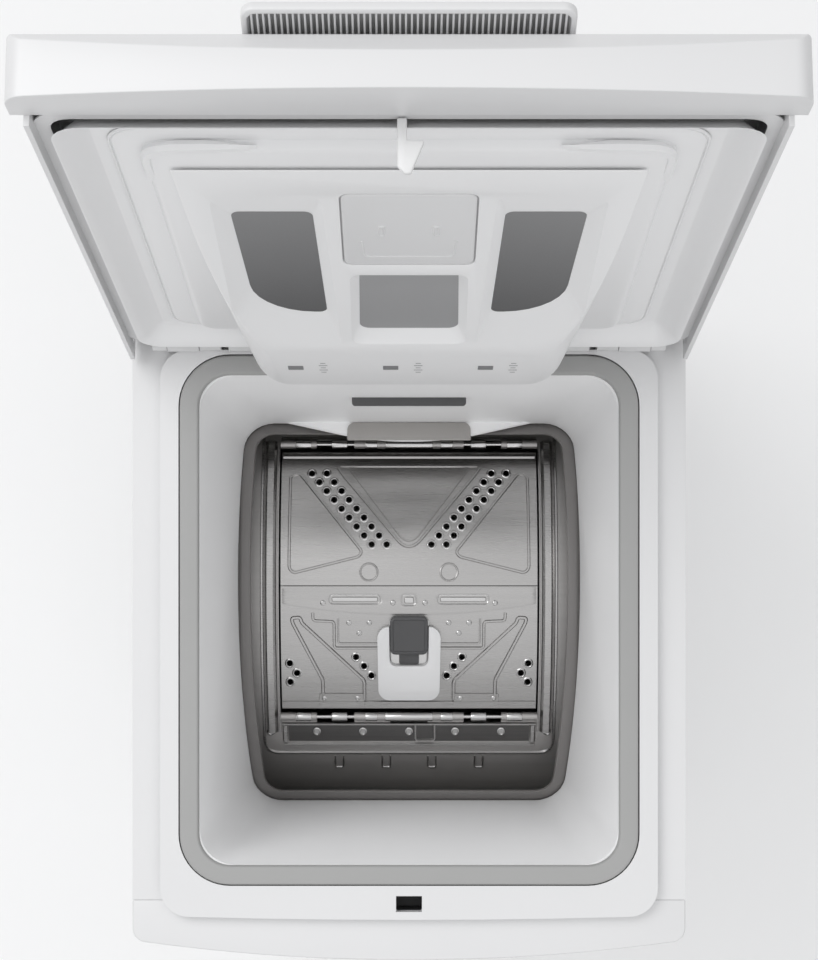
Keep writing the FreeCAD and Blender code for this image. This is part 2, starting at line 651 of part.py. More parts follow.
def latch_hook():
    z, y = hinge_z, hinge_y - hook_setback
    points = [(-6, z - s.plateau), (-6, z - s.hook_drop + 4), (-2, z - s.hook_drop), (1, z - s.hook_drop),
              (7.5, z - 19), (7.5, z - 17.5), (-1, z - 17.5), (-1, z - s.plateau)]
    turned_open("latch_hook", prism("hook_shut", "XZ", points, y - s.hook_wall / 2, y + s.hook_wall / 2))


# dispenser ---------------------------------------------------------------------------------------------
BOWL_SPAN, SOFTENER_SPAN, FLAP_SPAN = (0.2275, 0.764), (0.129, 0.4765), (0.554, 0.901)


def tray_end():
    return lid_reach - s.tray_lead


def along_slope(*shares):
    """Distances from the hinge of these shares of the tray's sloping face."""
    return [s.tray_flat + (tray_end() - s.tray_flat) * share for share in shares]


def tray_solid(name, inset):
    """The wedge between the liner and the tray's face, drawn shut; inset shrinks it for the hollow."""
    z, roof = hinge_z, -s.plateau - s.moving_gap / 2 - inset
    u0, u1, u2 = s.tray_start + inset, s.tray_flat, tray_end() - inset
    depth = s.tray_depth - inset
    profile = [(hinge_y - u2, z + roof), (hinge_y - u2, z + roof - 1), (hinge_y - u1, z - depth),
               (hinge_y - u0, z - depth), (hinge_y - u0, z + roof)]
    wedge = prism(f"{name}_wedge", "YZ", profile, -half, half)
    near, far = half - s.tray_narrow - inset, half - s.tray_wide - inset
    plan = prism(f"{name}_plan", "XY", [(-far, hinge_y - u2), (far, hinge_y - u2), (near, hinge_y - u0),
                 (-near, hinge_y - u0)], z - s.tray_depth - 1, z)
    return common(name, wedge, plan)


def window(name, x0, x1, u0, u1):
    return box(name, (x0, hinge_y - u1, hinge_z - s.tray_depth - 2),
               (x1, hinge_y - u0, hinge_z - s.plateau - s.tray_wall - 1))


def dispenser():
    skin = tray_solid("tray_skin", 0.0)
    hollow = tray_solid("tray_hollow", s.tray_wall)
    wall, part = s.tray_wall / 2, s.tray_partition
    depth = (hinge_z - s.tray_depth - 1, hinge_z)
    walls = [box(f"tray_wall_{n}", (sign * part - wall, hinge_y - tray_end(), depth[0]),
                 (sign * part + wall, hinge_y - s.tray_start, depth[1])) for n, sign in enumerate((-1, 1))]
    near, far = part + s.partition_margin, half - s.tray_wide - s.bowl_inset
    bowl, softener, flap = (along_slope(*span) for span in (BOWL_SPAN, SOFTENER_SPAN, FLAP_SPAN))
    windows = [window("bowl_left", -far, -near, *bowl), window("bowl_right", near, far, *bowl),
               window("bowl_centre", -s.softener_half, s.softener_half, *softener),
               window("flap_window", -s.flap_half, s.flap_half, *flap)]
    hollow_parts = cut("tray_rooms", hollow, *walls)
    turned_open("dispenser", cut("tray_shut", skin, hollow_parts, *windows))


def slope_level(u):
    """How far below the hinge the tray's sloping face lies at u."""
    u1, u2 = float(s.tray_flat), float(tray_end())
    top = float(s.plateau) + float(s.moving_gap) / 2 + 1
    return float(s.tray_depth) + (top - float(s.tray_depth)) * (u - u1) / (u2 - u1)


def dispenser_flap():
    """A thin plate in the tray's sloping face, hinged along its edge nearest the lid hinge."""
    gap, wall = float(s.draw_gap), 2.0
    start, end = (float(u) for u in along_slope(*FLAP_SPAN))
    u0, u1 = start + gap, end - gap
    y, z, side = float(hinge_y), float(hinge_z), float(s.flap_half) - gap
    corners = [(u0, slope_level(u0)), (u1, slope_level(u1)), (u1, slope_level(u1) - wall),
               (u0, slope_level(u0) - wall)]
    face = Part.Face(Part.makePolygon([Vector(-side, y - u, z - p) for u, p in corners + corners[:1]]))
    plate = face.extrude(Vector(2 * side, 0, 0))
    made = solid("dispenser_flap", plate)
    made.Placement = lid_frame()
    node("dispenser_flap", made)


# tub ---------------------------------------------------------------------------------------------------
def ear_box(name, x, y):
    bottom = drum_z - tub_radius
    return box(name, (x - 15, y - 16, bottom + s.ear_height - 10), (x + 15, y + 16, bottom + s.ear_height + 40))


def strut_spots():
    x = half - s.strut_inset
    return [(sx * x, drum_y + dy) for sx in (-1, 1) for dy in (-s.strut_front, s.strut_rear)]


def mouth_points(inset):
    """The rounded mouth that the tub and its gasket share, seen from above."""
    x, y0, y1 = door_half + 27 + inset, drum_y - s.strut_front - 73.5 - inset, drum_y + s.strut_rear + 29 + inset
    return rounded((-x, y0), (x, y1), 22 + inset)


def tub_shell():
    drum = around_tub("tub_outer", tub_radius, tub_half)
    bottom = drum_z - tub_radius
    sump = box("tub_sump", (-s.sump_half * 2, drum_y - s.sump_half, bottom - s.sump_depth),
               (s.sump_half * 2, drum_y + s.sump_half, drum_z - tub_radius + 30))
    stub = cylinder("tub_outlet", "Z", s.hose_radius - s.hose_wall, (s.pump_across, drum_y - 44),
                    bottom - s.sump_depth - 12, bottom - s.sump_depth + 2)
    ears = [ear_box(f"tub_ear_{n}", x, y) for n, (x, y) in enumerate(strut_spots())]
    whole = fuse("tub_whole", drum, sump, stub, *ears)
    room = around_tub("tub_room", tub_inner, half)
    well = box("sump_room", (-s.sump_half * 2 + 3, drum_y - s.sump_half + 3, bottom - s.sump_depth + 3),
               (s.sump_half * 2 - 3, drum_y + s.sump_half - 3, drum_z - tub_radius + 40))
    drain = cylinder("tub_drain", "Z", s.hose_radius - s.hose_wall - 2, (s.pump_across, drum_y - 44),
                     bottom - s.sump_depth - 13, bottom - s.sump_depth + 6)
    mouth = prism("tub_mouth", "XY", mouth_points(0.0), drum_z, s.ledge_height)
    ends = [box(f"tub_trim_{n}", (a, drum_y - tub_radius, bottom - 30), (b, drum_y + tub_radius, drum_z))
            for n, (a, b) in enumerate(((-half, -tub_half), (tub_half, half)))]
    node("tub_shell", cut("tub_shell", whole, room, well, drain, mouth, *ends))


def tub_gasket():
    ring = prism("gasket_ring", "XY", mouth_points(s.gasket_wall), drum_z, s.ledge_height)
    add_pocket(ring, "gasket_mouth", "XY", mouth_points(0.0), drum_z - 1, s.ledge_height + 1)
    band = cut("gasket_band", around_tub("gasket_outer", tub_radius + s.tub_travel, half),
               around_tub("gasket_inner", tub_radius, half))
    node("tub_gasket", common("tub_gasket", ring, band))


def tub_end(name, sign):
    bore, hub = s.bearing_radius, s.hub_radius
    inner, face, out = tub_half - 7, tub_face, tub_face + 2
    points = [(inner, bore), (out, bore), (out, hub), (face, hub), (face, tub_radius), (tub_half, tub_radius),
              (tub_half, hub), (inner, hub)]
    if sign < 0:
        points = [(-x, r) for x, r in reversed(points)]
    node(name, place(turned(f"{name}_turned", "X", points), (0, drum_y, drum_z)))


def drum_bearings():
    rings = []
    for n, sign in enumerate((-1, 1)):
        a, b = sorted((sign * (tub_half - 7), sign * (tub_half - 7 + s.bearing_width)))
        points = [(a, s.shaft_radius + s.running_gap), (b, s.shaft_radius + s.running_gap),
                  (b, s.bearing_radius), (a, s.bearing_radius)]
        rings.append(place(turned(f"bearing_{n}", "X", points), (0, drum_y, drum_z)))
    node("drum_bearings", group("drum_bearings", rings))


def counterweight():
    bottom = drum_z - tub_radius
    block = box("weight_block", (-s.sump_half * 1.7, drum_y - tub_radius + 18, bottom - 12),
                (s.sump_half * 1.7, drum_y - s.strut_front - 22, bottom + 98))
    node("counterweight", cut("counterweight", block, around_tub("weight_seat", tub_radius, half)))


def heater():
    """A hairpin element lying in the sump."""
    bottom = drum_z - tub_radius
    z = bottom - s.sump_depth / 2
    y0, y1, x = drum_y - 25, drum_y + 25, s.sump_half * 2 - 30
    legs = [cylinder(f"heater_leg_{n}", "X", s.heater_radius, (y, z), -x, x + 24) for n, y in enumerate((y0, y1))]
    bend = cylinder("heater_bend", "Y", s.heater_radius, (-x, z), y0, y1)
    tips = [doc.addObject("Part::Sphere", f"heater_tip_{n}") for n in range(2)]
    for tip, y in zip(tips, (y0, y1)):
        bind(tip, "Radius", s.heater_radius)
        place(tip, (-x, y, z))
    node("heater", fuse("heater", bend, *legs, *tips))


def strut_span():
    return s.base_top + s.fixed_gap, drum_z - tub_radius + s.ear_height - 10 - s.fixed_gap


def suspension_springs():
    low, high = (float(v) for v in strut_span())
    wire, radius = float(s.spring_wire), float(s.spring_radius)
    coils = []
    for x, y in strut_spots():
        path = Part.makeHelix(float(s.spring_pitch), high - low - 2 * wire, radius)
        ring = Part.Wire(Part.makeCircle(wire, Vector(radius, 0, 0), Vector(0, 1, 0)))
        coil = Part.Wire(path.Edges).makePipeShell([ring], True, True)
        coil.translate(Vector(float(x), float(y), low + wire))
        coils.append(coil)
    node("suspension_springs", solid("suspension_springs", Part.makeCompound(coils)))


def dampers():
    low, high = strut_span()
    pieces = []
    for n, (x, y) in enumerate(strut_spots()):
        middle = low + (high - low) * 0.6
        tube = cut(f"damper_tube_{n}", cylinder(f"damper_case_{n}", "Z", 8, (x, y), low, middle),
                   cylinder(f"damper_bore_{n}", "Z", 4.5, (x, y), low + 6, middle + 1))
        rod = cylinder(f"damper_rod_{n}", "Z", 4, (x, y), low + 30, high)
        pieces += [tube, rod]
    node("dampers", group("dampers", pieces))


# drum --------------------------------------------------------------------------------------------------
def hinge_spans():
    """Seven equal eyes across a drum door: the even ones are the drum's, the odd ones the door's."""
    step = 2 * float(door_half) / 7
    return [(-float(door_half) + n * step + 0.4, -float(door_half) + (n + 1) * step - 0.4) for n in range(7)]


def hinge_eye(name, sign, span):
    y = drum_y + sign * s.hinge_half_chord
    return cylinder(name, "X", s.drum_pin + s.knuckle_wall, (y, drum_z + hinge_up), *span)


def drum_eyes(sign, parity):
    side = "rear" if sign > 0 else "front"
    return [hinge_eye(f"{side}_eye_{n}", sign, span) for n, span in enumerate(hinge_spans()) if n % 2 == parity]


def drum_hole(row, turn):
    """One drain hole through the drum wall at this place along it and around it."""
    length = float(drum_radius) + 3
    hole = Part.makeCylinder(2.0, 10, Vector(row, 0, length - 10), Vector(0, 0, 1))
    hole.rotate(Vector(), Vector(1, 0, 0), turn)
    hole.translate(Vector(0, float(drum_y), float(drum_z)))
    return hole


def drum_shell():
    tube = cut("drum_tube", around_tub("drum_outer", drum_radius, drum_half),
               around_tub("drum_room", drum_radius - s.drum_wall, half))
    y0, y1 = drum_y - s.door_half_chord - s.door_gap, drum_y + s.door_half_chord + s.door_gap
    opening = box("drum_opening", (-door_half - s.door_gap, y0, drum_z), (door_half + s.door_gap, y1, s.ledge_height))
    slots = []
    for sign in (-1, 1):
        centre = float(drum_y) + sign * float(s.hinge_half_chord)
        for n, (a, b) in enumerate(hinge_spans()):
            if n % 2:
                slots.append(box(f"eye_slot_{len(slots)}", (a - 0.8, centre - 5, drum_z),
                                 (b + 0.8, centre + 5, s.ledge_height)))
    eyes = [*drum_eyes(1, 0), *drum_eyes(-1, 0)]
    pins = [cylinder(f"drum_pin_bore_{n}", "X", s.drum_pin, (drum_y + sign * s.hinge_half_chord,
                     drum_z + hinge_up), -half, half) for n, sign in enumerate((-1, 1))]
    shell = cut("drum_with_mouth", tube, opening, *slots)
    whole = cut("drum_with_eyes", fuse("drum_and_eyes", shell, *eyes), *pins)
    doc.recompute()
    rows = [float(drum_half) * share for share in (-0.6, 0.0, 0.6)]
    holes = Part.makeCompound([drum_hole(row, 60 + 24 * k) for row in rows for k in range(11)])
    node("drum_shell", solid("drum_shell", whole.Shape.cut(holes)))


def drum_hinge_pins():
    pins = [cylinder(f"drum_pin_{n}", "X", s.drum_pin, (drum_y + sign * s.hinge_half_chord, drum_z + hinge_up),
                     -door_half + 0.4, door_half - 0.4) for n, sign in enumerate((-1, 1))]
    node("drum_hinge_pins", group("drum_hinge_pins", pins))


def drum_door(name, sign, near):
    """A curved drum door between the meeting line and its hinge, with its own hinge eyes."""
    y0, y1 = sorted((drum_y + near, drum_y + sign * s.door_half_chord))
    sector = box(f"{name}_limits", (-door_half, y0, drum_z), (door_half, y1, s.ledge_height))
    skin = cut(f"{name}_skin", around_tub(f"{name}_outer", drum_radius, half),
               around_tub(f"{name}_inner", drum_radius - s.drum_wall, half + 1))
    plate = common(f"{name}_plate", skin, sector)
    eyes = drum_eyes(sign, 1)
    links = []
    hinge = drum_y + sign * s.hinge_half_chord
    for n, (a, b) in enumerate(span for k, span in enumerate(hinge_spans()) if k % 2):
        y2, y3 = sorted((hinge - sign * (s.knuckle_wall + 2.5), hinge))
        links.append(box(f"{name}_link_{n}", (a, y2, drum_z + hinge_up - 1), (b, y3, drum_z + hinge_up + 1)))
    bore = cylinder(f"{name}_bore", "X", s.drum_pin + s.running_gap, (hinge, drum_z + hinge_up), -half, half)
    node(name, cut(name, fuse(f"{name}_whole", plate, *eyes, *links), bore))


def drum_end(name, sign):
    a, thin = drum_half, s.drum_wall
    points = [(a, s.shaft_radius), (a + thin, s.shaft_radius), (a + thin, drum_radius - 2), (a, drum_radius)]
    if sign < 0:
        points = [(-x, r) for x, r in reversed(points)]
    node(name, place(turned(f"{name}_turned", "X", points), (0, drum_y, drum_z)))


def drum_shafts():
    shafts = []
    for n, (sign, end) in enumerate(((-1, pulley_plane + s.pulley_width / 2 + 1), (1, tub_face + 3))):
        a, r, flange = drum_half + s.drum_wall, s.shaft_radius, s.spider_radius
        points = [(a, 0), (end, 0), (end, r), (a + 4, r), (a + 4, flange), (a, flange)]
        if sign < 0:
            points = [(-x, y) for x, y in reversed(points)]
        shafts.append(place(turned(f"drum_shaft_{n}", "X", points), (0, drum_y, drum_z)))
    node("drum_shafts", group("drum_shafts", shafts))


def drum_lifters():
    base, tall, side = s.lifter_base / 2, s.lifter_height, drum_half - s.lifter_side_gap
    lifters = []
    for n, turn in enumerate((120, 240)):
        ridge = prism(f"lifter_ridge_{n}", "YZ", [(-base, drum_radius + 1), (-7, drum_radius - tall, -4.0),
                      (7, drum_radius - tall), (base, drum_radius + 1)], -side, side)
        ridge.Placement = Placement(Vector(0, float(drum_y), float(drum_z)), Rotation(Vector(1, 0, 0), turn))
        lifters.append(common(f"lifter_{n}", ridge,
                              around_tub(f"lifter_seat_{n}", drum_radius - s.drum_wall, drum_half)))
    node("drum_lifters", group("drum_lifters", lifters))


def drum_screws():
    """Seven screws in the strip in front of the front door's hinge."""
    turn = math.degrees(math.asin(117.0 / float(drum_radius)))
    screws = []
    for n in range(7):
        x = (n - 3) * (float(door_half) + 8) / 3
        head = Part.makeCylinder(4, 1.8, Vector(x, 0, float(drum_radius)), Vector(0, 0, 1))
        head.rotate(Vector(), Vector(1, 0, 0), turn)
        head.translate(Vector(0, float(drum_y), float(drum_z)))
        screws.append(head)
    node("drum_screws", solid("drum_screws", Part.makeCompound(screws)))


def drum_pulley():
    x, w, r = -pulley_plane, s.pulley_width / 2, s.drum_pulley_radius
    points = [(x - w, s.shaft_radius), (x + w, s.shaft_radius), (x + w, 24), (x + 2, 26), (x + 2, r - 8),
              (x + w, r - 7), (x + w, r), (x - w, r), (x - w, r - 7), (x - 2, r - 8), (x - 2, 26), (x - w, 24)]
    disc = place(turned("pulley_turned", "X", list(reversed(points))), (0, drum_y, drum_z))
    windows = []
    for n in range(6):
        turn = math.radians(30 + 60 * n)
        spot = (drum_y + 80 * math.cos(turn), drum_z + 80 * math.sin(turn))
        windows.append(cylinder(f"pulley_window_{n}", "X", 30, spot, x - 10, x + 10))
    node("drum_pulley", cut("drum_pulley", disc, *windows))


def latch_band(name, low, high, side, front_edge, rear_edge):
    """A patch of the drum's curve between two radii, seen from above as a rectangle behind the front door."""
    band = cut(f"{name}_band", around_tub(f"{name}_outer", drum_radius + high, side),
               around_tub(f"{name}_inner", drum_radius + low, half))
    return common(f"{name}_patch", band, box(f"{name}_limits", (-side, drum_y - front_edge, drum_z),
                                            (side, drum_y - rear_edge, s.ledge_height)))


def latch_cover():
    cover = latch_band("latch_cover", 0.0, s.latch_rise, s.latch_half, s.latch_front, s.latch_rear)
    room = box("button_room", (-s.button_half - 0.4, drum_y - s.button_front - s.button_travel - 0.6, drum_z),
               (s.button_half + 0.4, drum_y, s.ledge_height))
    node("latch_cover", cut("latch_cover", cover, room))


def latch_button():
    node("latch_button", latch_band("latch_button", 0.4, s.latch_rise + 1, s.button_half, s.button_front,
                                    s.button_rear))


# drive -------------------------------------------------------------------------------------------------
def motor_stator():
    x = s.motor_half
    case = cylinder("stator_case", "X", s.motor_radius, (motor_y, motor_z), -x - 40, x - 40)
    room = cylinder("stator_room", "X", s.rotor_radius + s.fixed_gap, (motor_y, motor_z), -x - 28, x - 52)
    bore = cylinder("stator_bore", "X", s.motor_shaft + s.running_gap, (motor_y, motor_z), -half, x - 48)
    lean = -math.degrees(math.atan2(float(s.motor_below), float(s.motor_across)))
    arm = Part.makeBox(120, 24, 100, Vector(-100, -12, float(s.motor_radius) - 8))
    arm.rotate(Vector(), Vector(1, 0, 0), -(90 - lean) + 180)
    block = solid("stator_arm", arm)
    block.Placement = Placement(Vector(0, float(motor_y), float(motor_z)), Rotation()).multiply(block.Placement)
    seat = cut("stator_seat", block, around_tub("stator_tub", tub_radius, half))
    node("motor_stator", cut("motor_stator", fuse("stator_whole", case, seat), room, bore))


def motor_rotor():
    r, shaft = s.rotor_radius, s.motor_shaft
    a, b = -s.motor_half - 26, s.motor_half - 54
    end = -pulley_plane - s.pulley_width / 2
    points = [(end, 0), (b + 5, 0), (b + 5, shaft), (b, shaft), (b, r), (a, r), (a, shaft), (end, shaft)]
    node("motor_rotor", place(turned("rotor_turned", "X", points), (0, motor_y, motor_z)))


def motor_pulley():
    x, w = -pulley_plane, s.pulley_width / 2
    points = [(x - w, s.motor_shaft), (x + w, s.motor_shaft), (x + w, s.motor_pulley_radius),
              (x - w, s.motor_pulley_radius)]
    node("motor_pulley", place(turned("motor_pulley_turned", "X", points), (0, motor_y, motor_z)))


def belt_loop(big, small, gap):
    """An open belt's outline round both pulleys, as a face in the plane of the pulleys."""
    across, below = float(s.motor_across), float(s.motor_below)
    spacing = math.hypot(across, below)
    aim = math.atan2(-below, across)
    wrap = math.acos((big - small) / spacing)
    centre, far = Vector(0, float(drum_y), float(drum_z)), Vector(0, float(motor_y), float(motor_z))

    def rim(middle, radius, angle):
        return middle + Vector(0, math.cos(angle), math.sin(angle)) * (radius + gap)

    a, b = rim(centre, big, aim + wrap), rim(far, small, aim + wrap)
    c, d = rim(far, small, aim - wrap), rim(centre, big, aim - wrap)
    return Part.Face(Part.Wire([
        Part.LineSegment(a, b).toShape(), Part.Arc(b, rim(far, small, aim), c).toShape(),
        Part.LineSegment(c, d).toShape(), Part.Arc(d, rim(centre, big, aim + math.pi), a).toShape()]))


def drive_belt():
    big, small = float(s.drum_pulley_radius), float(s.motor_pulley_radius)
    inner, outer = float(s.belt_gap), float(s.belt_gap + s.belt_wall)
    band = belt_loop(big, small, outer).cut(belt_loop(big, small, inner))
    belt = band.extrude(Vector(float(s.belt_width), 0, 0))
    made = solid("drive_belt", belt.Solids[0])
    made.Placement = Placement(Vector(-float(pulley_plane) - float(s.belt_width) / 2, 0, 0), Rotation())
    node("drive_belt", made)


# rear console --------------------------------------------------------------------------------------------
def console_points(inset):
    y0, z0 = hinge_y + s.console_gap + inset, s.ledge_height
    top = z0 + s.console_rise - inset
    back = rear + s.rear_recess - 4 - inset
    step = z0 + s.fascia_step
    return [(y0, z0), (back, z0), (back, top), (y0 + 98.5, top), (y0 + 8.5, step - inset), (y0 + 3, step - 4 - inset)]


def fascia_frame():
    base = Vector(0, float(hinge_y + s.console_gap) + 8.5, float(s.ledge_height + s.fascia_step))
    return Placement(base, Rotation(Vector(1, 0, 0), float(s.fascia_tilt)))


def on_fascia(thing):
    for letter in "xyz":
        thing.setExpression(f"Placement.Base.{letter}", None)
    thing.Placement = fascia_frame().multiply(thing.Placement)
    return thing


def fascia_box(name, x0, x1, near, far, low, high):
    made = box(name, (x0, near, low), (x1, far, high))
    doc.recompute()
    return on_fascia(made)


def fascia_cylinder(name, radius, spot, low, high):
    made = cylinder(name, "Z", radius, spot, low, high)
    doc.recompute()
    return on_fascia(made)


def console_housing():
    skin = prism("console_skin", "YZ", console_points(0.0), -half, half)
    hollow = prism("console_hollow", "YZ", console_points(s.lid_wall), -half + s.lid_wall, half - s.lid_wall)
    side = half - s.fascia_margin
    opening = fascia_box("fascia_opening", -side, side, 4.0, 4 + s.fascia_depth, -8.0, 4.0)
    node("console_housing", cut("console_housing", skin, hollow, opening))


KNOB_SPOT, BUTTON_SPOT, WINDOW_SPOT = (0.0, 46.0), (120.0, 46.0), (62.0, 46.0)


def plate_hole(name, spot, wide, deep, low=-6.0, high=2.0):
    (x, y) = spot
    return fascia_box(name, x - wide / 2, x + wide / 2, y - deep / 2, y + deep / 2, low, high)


def console_fascia():
    side, gap = half - s.fascia_margin - s.fixed_gap, s.fixed_gap
    plate = fascia_box("fascia_plate", -side, side, 4 + gap, 4 + s.fascia_depth - gap, -s.fascia_wall, 0.0)
    stem = fascia_cylinder("stem_hole", s.knob_stem + s.fixed_gap, KNOB_SPOT, -8.0, 4.0)
    key = plate_hole("button_hole", BUTTON_SPOT, s.button_width + 1, s.button_depth + 1)
    pane = plate_hole("window_hole", WINDOW_SPOT, s.window_width, s.window_depth)
    node("console_fascia", cut("console_fascia", plate, stem, key, pane))


def console_parts():
    node("display_window", plate_hole("display_window", WINDOW_SPOT, s.window_width, s.window_depth, -2.0, -0.4))
    knob = fascia_cylinder("knob_grip", s.knob_radius, KNOB_SPOT, 0.6, 0.6 + s.knob_height)
    stem = fascia_cylinder("knob_stem", s.knob_stem, KNOB_SPOT, -8.0, 2.0)
    node("programme_knob", fuse("programme_knob", knob, stem))
    node("start_button", plate_hole("start_button", BUTTON_SPOT, s.button_width, s.button_depth, -5.0, 3.0))
    node("control_board", fascia_box("control_board", -110.0, 140.0, 10.0, 80.0, -18.0, -16.4))


# pump, water and power -------------------------------------------------------------------------------------
def pump_body():
    x, z, r = s.pump_across, s.filter_height, s.filter_radius
    nose = split - 12.5
    back = nose + 70
    centre = (x, z)
    solids = [cylinder("filter_tube", "Y", r, centre, nose, back),
              cylinder("pump_volute", "Y", s.volute_radius, centre, back, back + 35),
              cylinder("pump_motor", "Y", 30, centre, back + 35, back + 100),
              cylinder("pump_inlet", "Z", s.hose_radius - s.hose_wall, (x, back - 15), z + r - 8, z + r + 16),
              cylinder("pump_outlet", "X", s.outlet_radius - s.outlet_wall, (back + 17.5, z), x + 30, x + s.volute_radius + 16),
              box("pump_saddle", (x - 15, split + 8, s.base_top), (x + 15, split + 28, z - r + 4))]
    rooms = [cylinder("filter_room", "Y", r - s.filter_wall, centre, nose - 1, back - 4),
             cylinder("impeller_room", "Y", s.impeller_radius + 4, centre, back + 4, back + 31),
             cylinder("pump_throat", "Y", 12, centre, back - 6, back + 6),
             cylinder("inlet_room", "Z", s.hose_radius - s.hose_wall - 2, (x, back - 15), z, z + r + 17),
             cylinder("outlet_room", "X", s.outlet_radius - s.outlet_wall - 2, (back + 17.5, z), x, x + s.volute_radius + 17)]
    node("pump_body", cut("pump_body", fuse("pump_solids", *solids), *rooms))
    hub = cylinder("impeller_hub", "Y", 7, centre, back + 10, back + 28)
    blades = []
    for n in range(4):
        blade = box(f"impeller_blade_{n}", (0.0, 0.0, -1.0), (s.impeller_radius, 14.0, 1.0))
        doc.recompute()
        for letter in "xyz":
            blade.setExpression(f"Placement.Base.{letter}", None)
        spot = Placement(Vector(float(x), float(back) + 12, float(z)), Rotation(Vector(0, 1, 0), 90 * n))
        blade.Placement = spot.multiply(blade.Placement)
        blades.append(blade)
    node("pump_impeller", fuse("pump_impeller", hub, *blades))
    plug = cylinder("filter_plug", "Y", r - s.filter_wall - 0.5, centre, nose, nose + 22)
    grip = box("filter_grip", (x - 20, nose - 10, z - 4), (x + 20, nose + 1, z + 4))
    node("filter_cap", fuse("filter_cap", plug, grip))


def pipe(points, radius, bend):
    """A round bar along straight runs joined by tangent arcs of one radius."""
    edges, last = [], points[0]
    for before, corner, after in zip(points, points[1:], points[2:]):
        into, out = (before - corner).normalize(), (after - corner).normalize()
        reach = bend / math.tan(into.getAngle(out) / 2)
        start, stop = corner + into * reach, corner + out * reach
        towards = (into + out).normalize()
        middle = corner + towards * (bend / math.sin(into.getAngle(out) / 2) - bend)
        edges += [Part.LineSegment(last, start).toShape(), Part.Arc(start, middle, stop).toShape()]
        last = stop
    edges.append(Part.LineSegment(last, points[-1]).toShape())
    heading = (points[1] - points[0]).normalize()
    ring = Part.Wire(Part.makeCircle(radius, points[0], heading))
    return Part.Wire(edges).makePipeShell([ring], True, True)


def hose(name, points, bend, radius, wall):
    outer, inner = float(radius), float(radius - wall)
    node(name, solid(name, pipe(points, outer, bend).cut(pipe(points, inner, bend))))


def hoses():
    x, back = float(s.pump_across), float(split) + 57.5
    sump = float(drum_z - tub_radius - s.sump_depth)
    z, inlet = float(s.filter_height), float(s.filter_height + s.filter_radius)
    y = float(drum_y) - 44
    level = (sump + inlet) / 2 - 2
    hose("sump_hose", [Vector(x, y, sump - 1), Vector(x, y, level), Vector(x, back - 15, level),
                       Vector(x, back - 15, inlet + 1)], 15, s.hose_radius, s.hose_wall)
    side, wall, high = float(half) - 18, float(rear) - 40, float(s.ledge_height - s.outlet_drop)
    start = x + float(s.volute_radius) + 1
    hose("drain_hose", [Vector(start, back + 17.5, z), Vector(side, back + 17.5, z), Vector(side, wall, z + 15),
                        Vector(float(s.inlet_across), wall, high),
                        Vector(float(s.inlet_across), float(rear + s.rear_recess) - 1, high)], 20,
         s.outlet_radius, s.outlet_wall)


def inlet_valve():
    x, z = -s.inlet_across, s.ledge_height - s.inlet_drop
    body = box("valve_block", (x - 20, rear - 45, z - 18), (x + 20, rear - s.sheet_metal - s.fixed_gap, z + 18))
    spout = cylinder("valve_spout", "Y", s.inlet_radius, (x, z), rear - 10, rear + s.rear_recess)
    bore = cylinder("valve_bore", "Y", s.inlet_radius - 4, (x, z), rear - 20, rear + s.rear_recess + 1)
    node("inlet_valve", cut("inlet_valve", fuse("valve_solids", body, spout), bore))
    gx, gz = s.inlet_across, s.ledge_height - s.gland_drop
    flange = cylinder("gland_flange", "Y", s.gland_radius, (gx, gz), rear, rear + 4)
    sleeve = cylinder("gland_sleeve", "Y", s.gland_radius - 3.5, (gx, gz), rear - 8, rear + 1)
    hole = cylinder("gland_bore", "Y", s.cord_bore, (gx, gz), rear - 9, rear + 5)
    node("cord_gland", cut("cord_gland", fuse("gland_solids", flange, sleeve), hole))


def build():
    side_panel("side_panel_left", -1)
    side_panel("side_panel_right", 1)
    for make in (front_panel, filter_flap, front_trim, rear_panel, base_frame, feet, cabinet_screws,
                 top_cover, lid_hinge_pins, throat_well, lid_seal, lid_lock, lid_shell, lid_inner, lid_cap,
                 latch_hook, dispenser, dispenser_flap, tub_shell, tub_gasket, drum_bearings, counterweight,
                 heater, suspension_springs, dampers, drum_shell, drum_hinge_pins, drum_shafts, drum_lifters,
                 drum_screws, drum_pulley, latch_cover, latch_button, motor_stator, motor_rotor, motor_pulley,
                 drive_belt, console_housing, console_fascia, console_parts, pump_body, hoses, inlet_valve):
        make()
    for side, sign in (("left", -1), ("right", 1)):
        tub_end(f"tub_end_{side}", sign)
        drum_end(f"drum_end_{side}", sign)
    drum_door("rear_drum_door", 1, -s.door_meet + s.door_gap / 2)
    drum_door("front_drum_door", -1, -s.door_meet - s.door_gap / 2)


def check_and_write():
    doc.recompute()
    failed = [thing.Name for thing in doc.Objects if {"Invalid", "Error"} & set(thing.State)]
    broken = [name for name, thing in NODES.items() if thing.Shape.isNull() or not thing.Shape.isValid()]
    if failed or broken:
        raise RuntimeError(f"failed objects: {failed}; bad shapes: {broken}")
    os.makedirs("parts", exist_ok=True)
    for name, thing in NODES.items():
        thing.Shape.exportStep(os.path.join("parts", f"{name}.step"))
        print(name, len(thing.Shape.Solids), round(thing.Shape.Volume))
    print(len(NODES), "nodes")


build()
check_and_write()
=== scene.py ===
# %% [markdown]
# # A top-loading washing machine, seen from above with its lid open
# The design frame holds every working part at its real size. This lesson keeps the parts whose
# shape is right, gives them finishes, and models again the pieces that need softer shapes:
# the lid with its soap drawer, the white throat, and the pressed steel drum doors.

# %% Load the frame
import json
import math

import bmesh
import bpy
from mathutils import Matrix, Vector


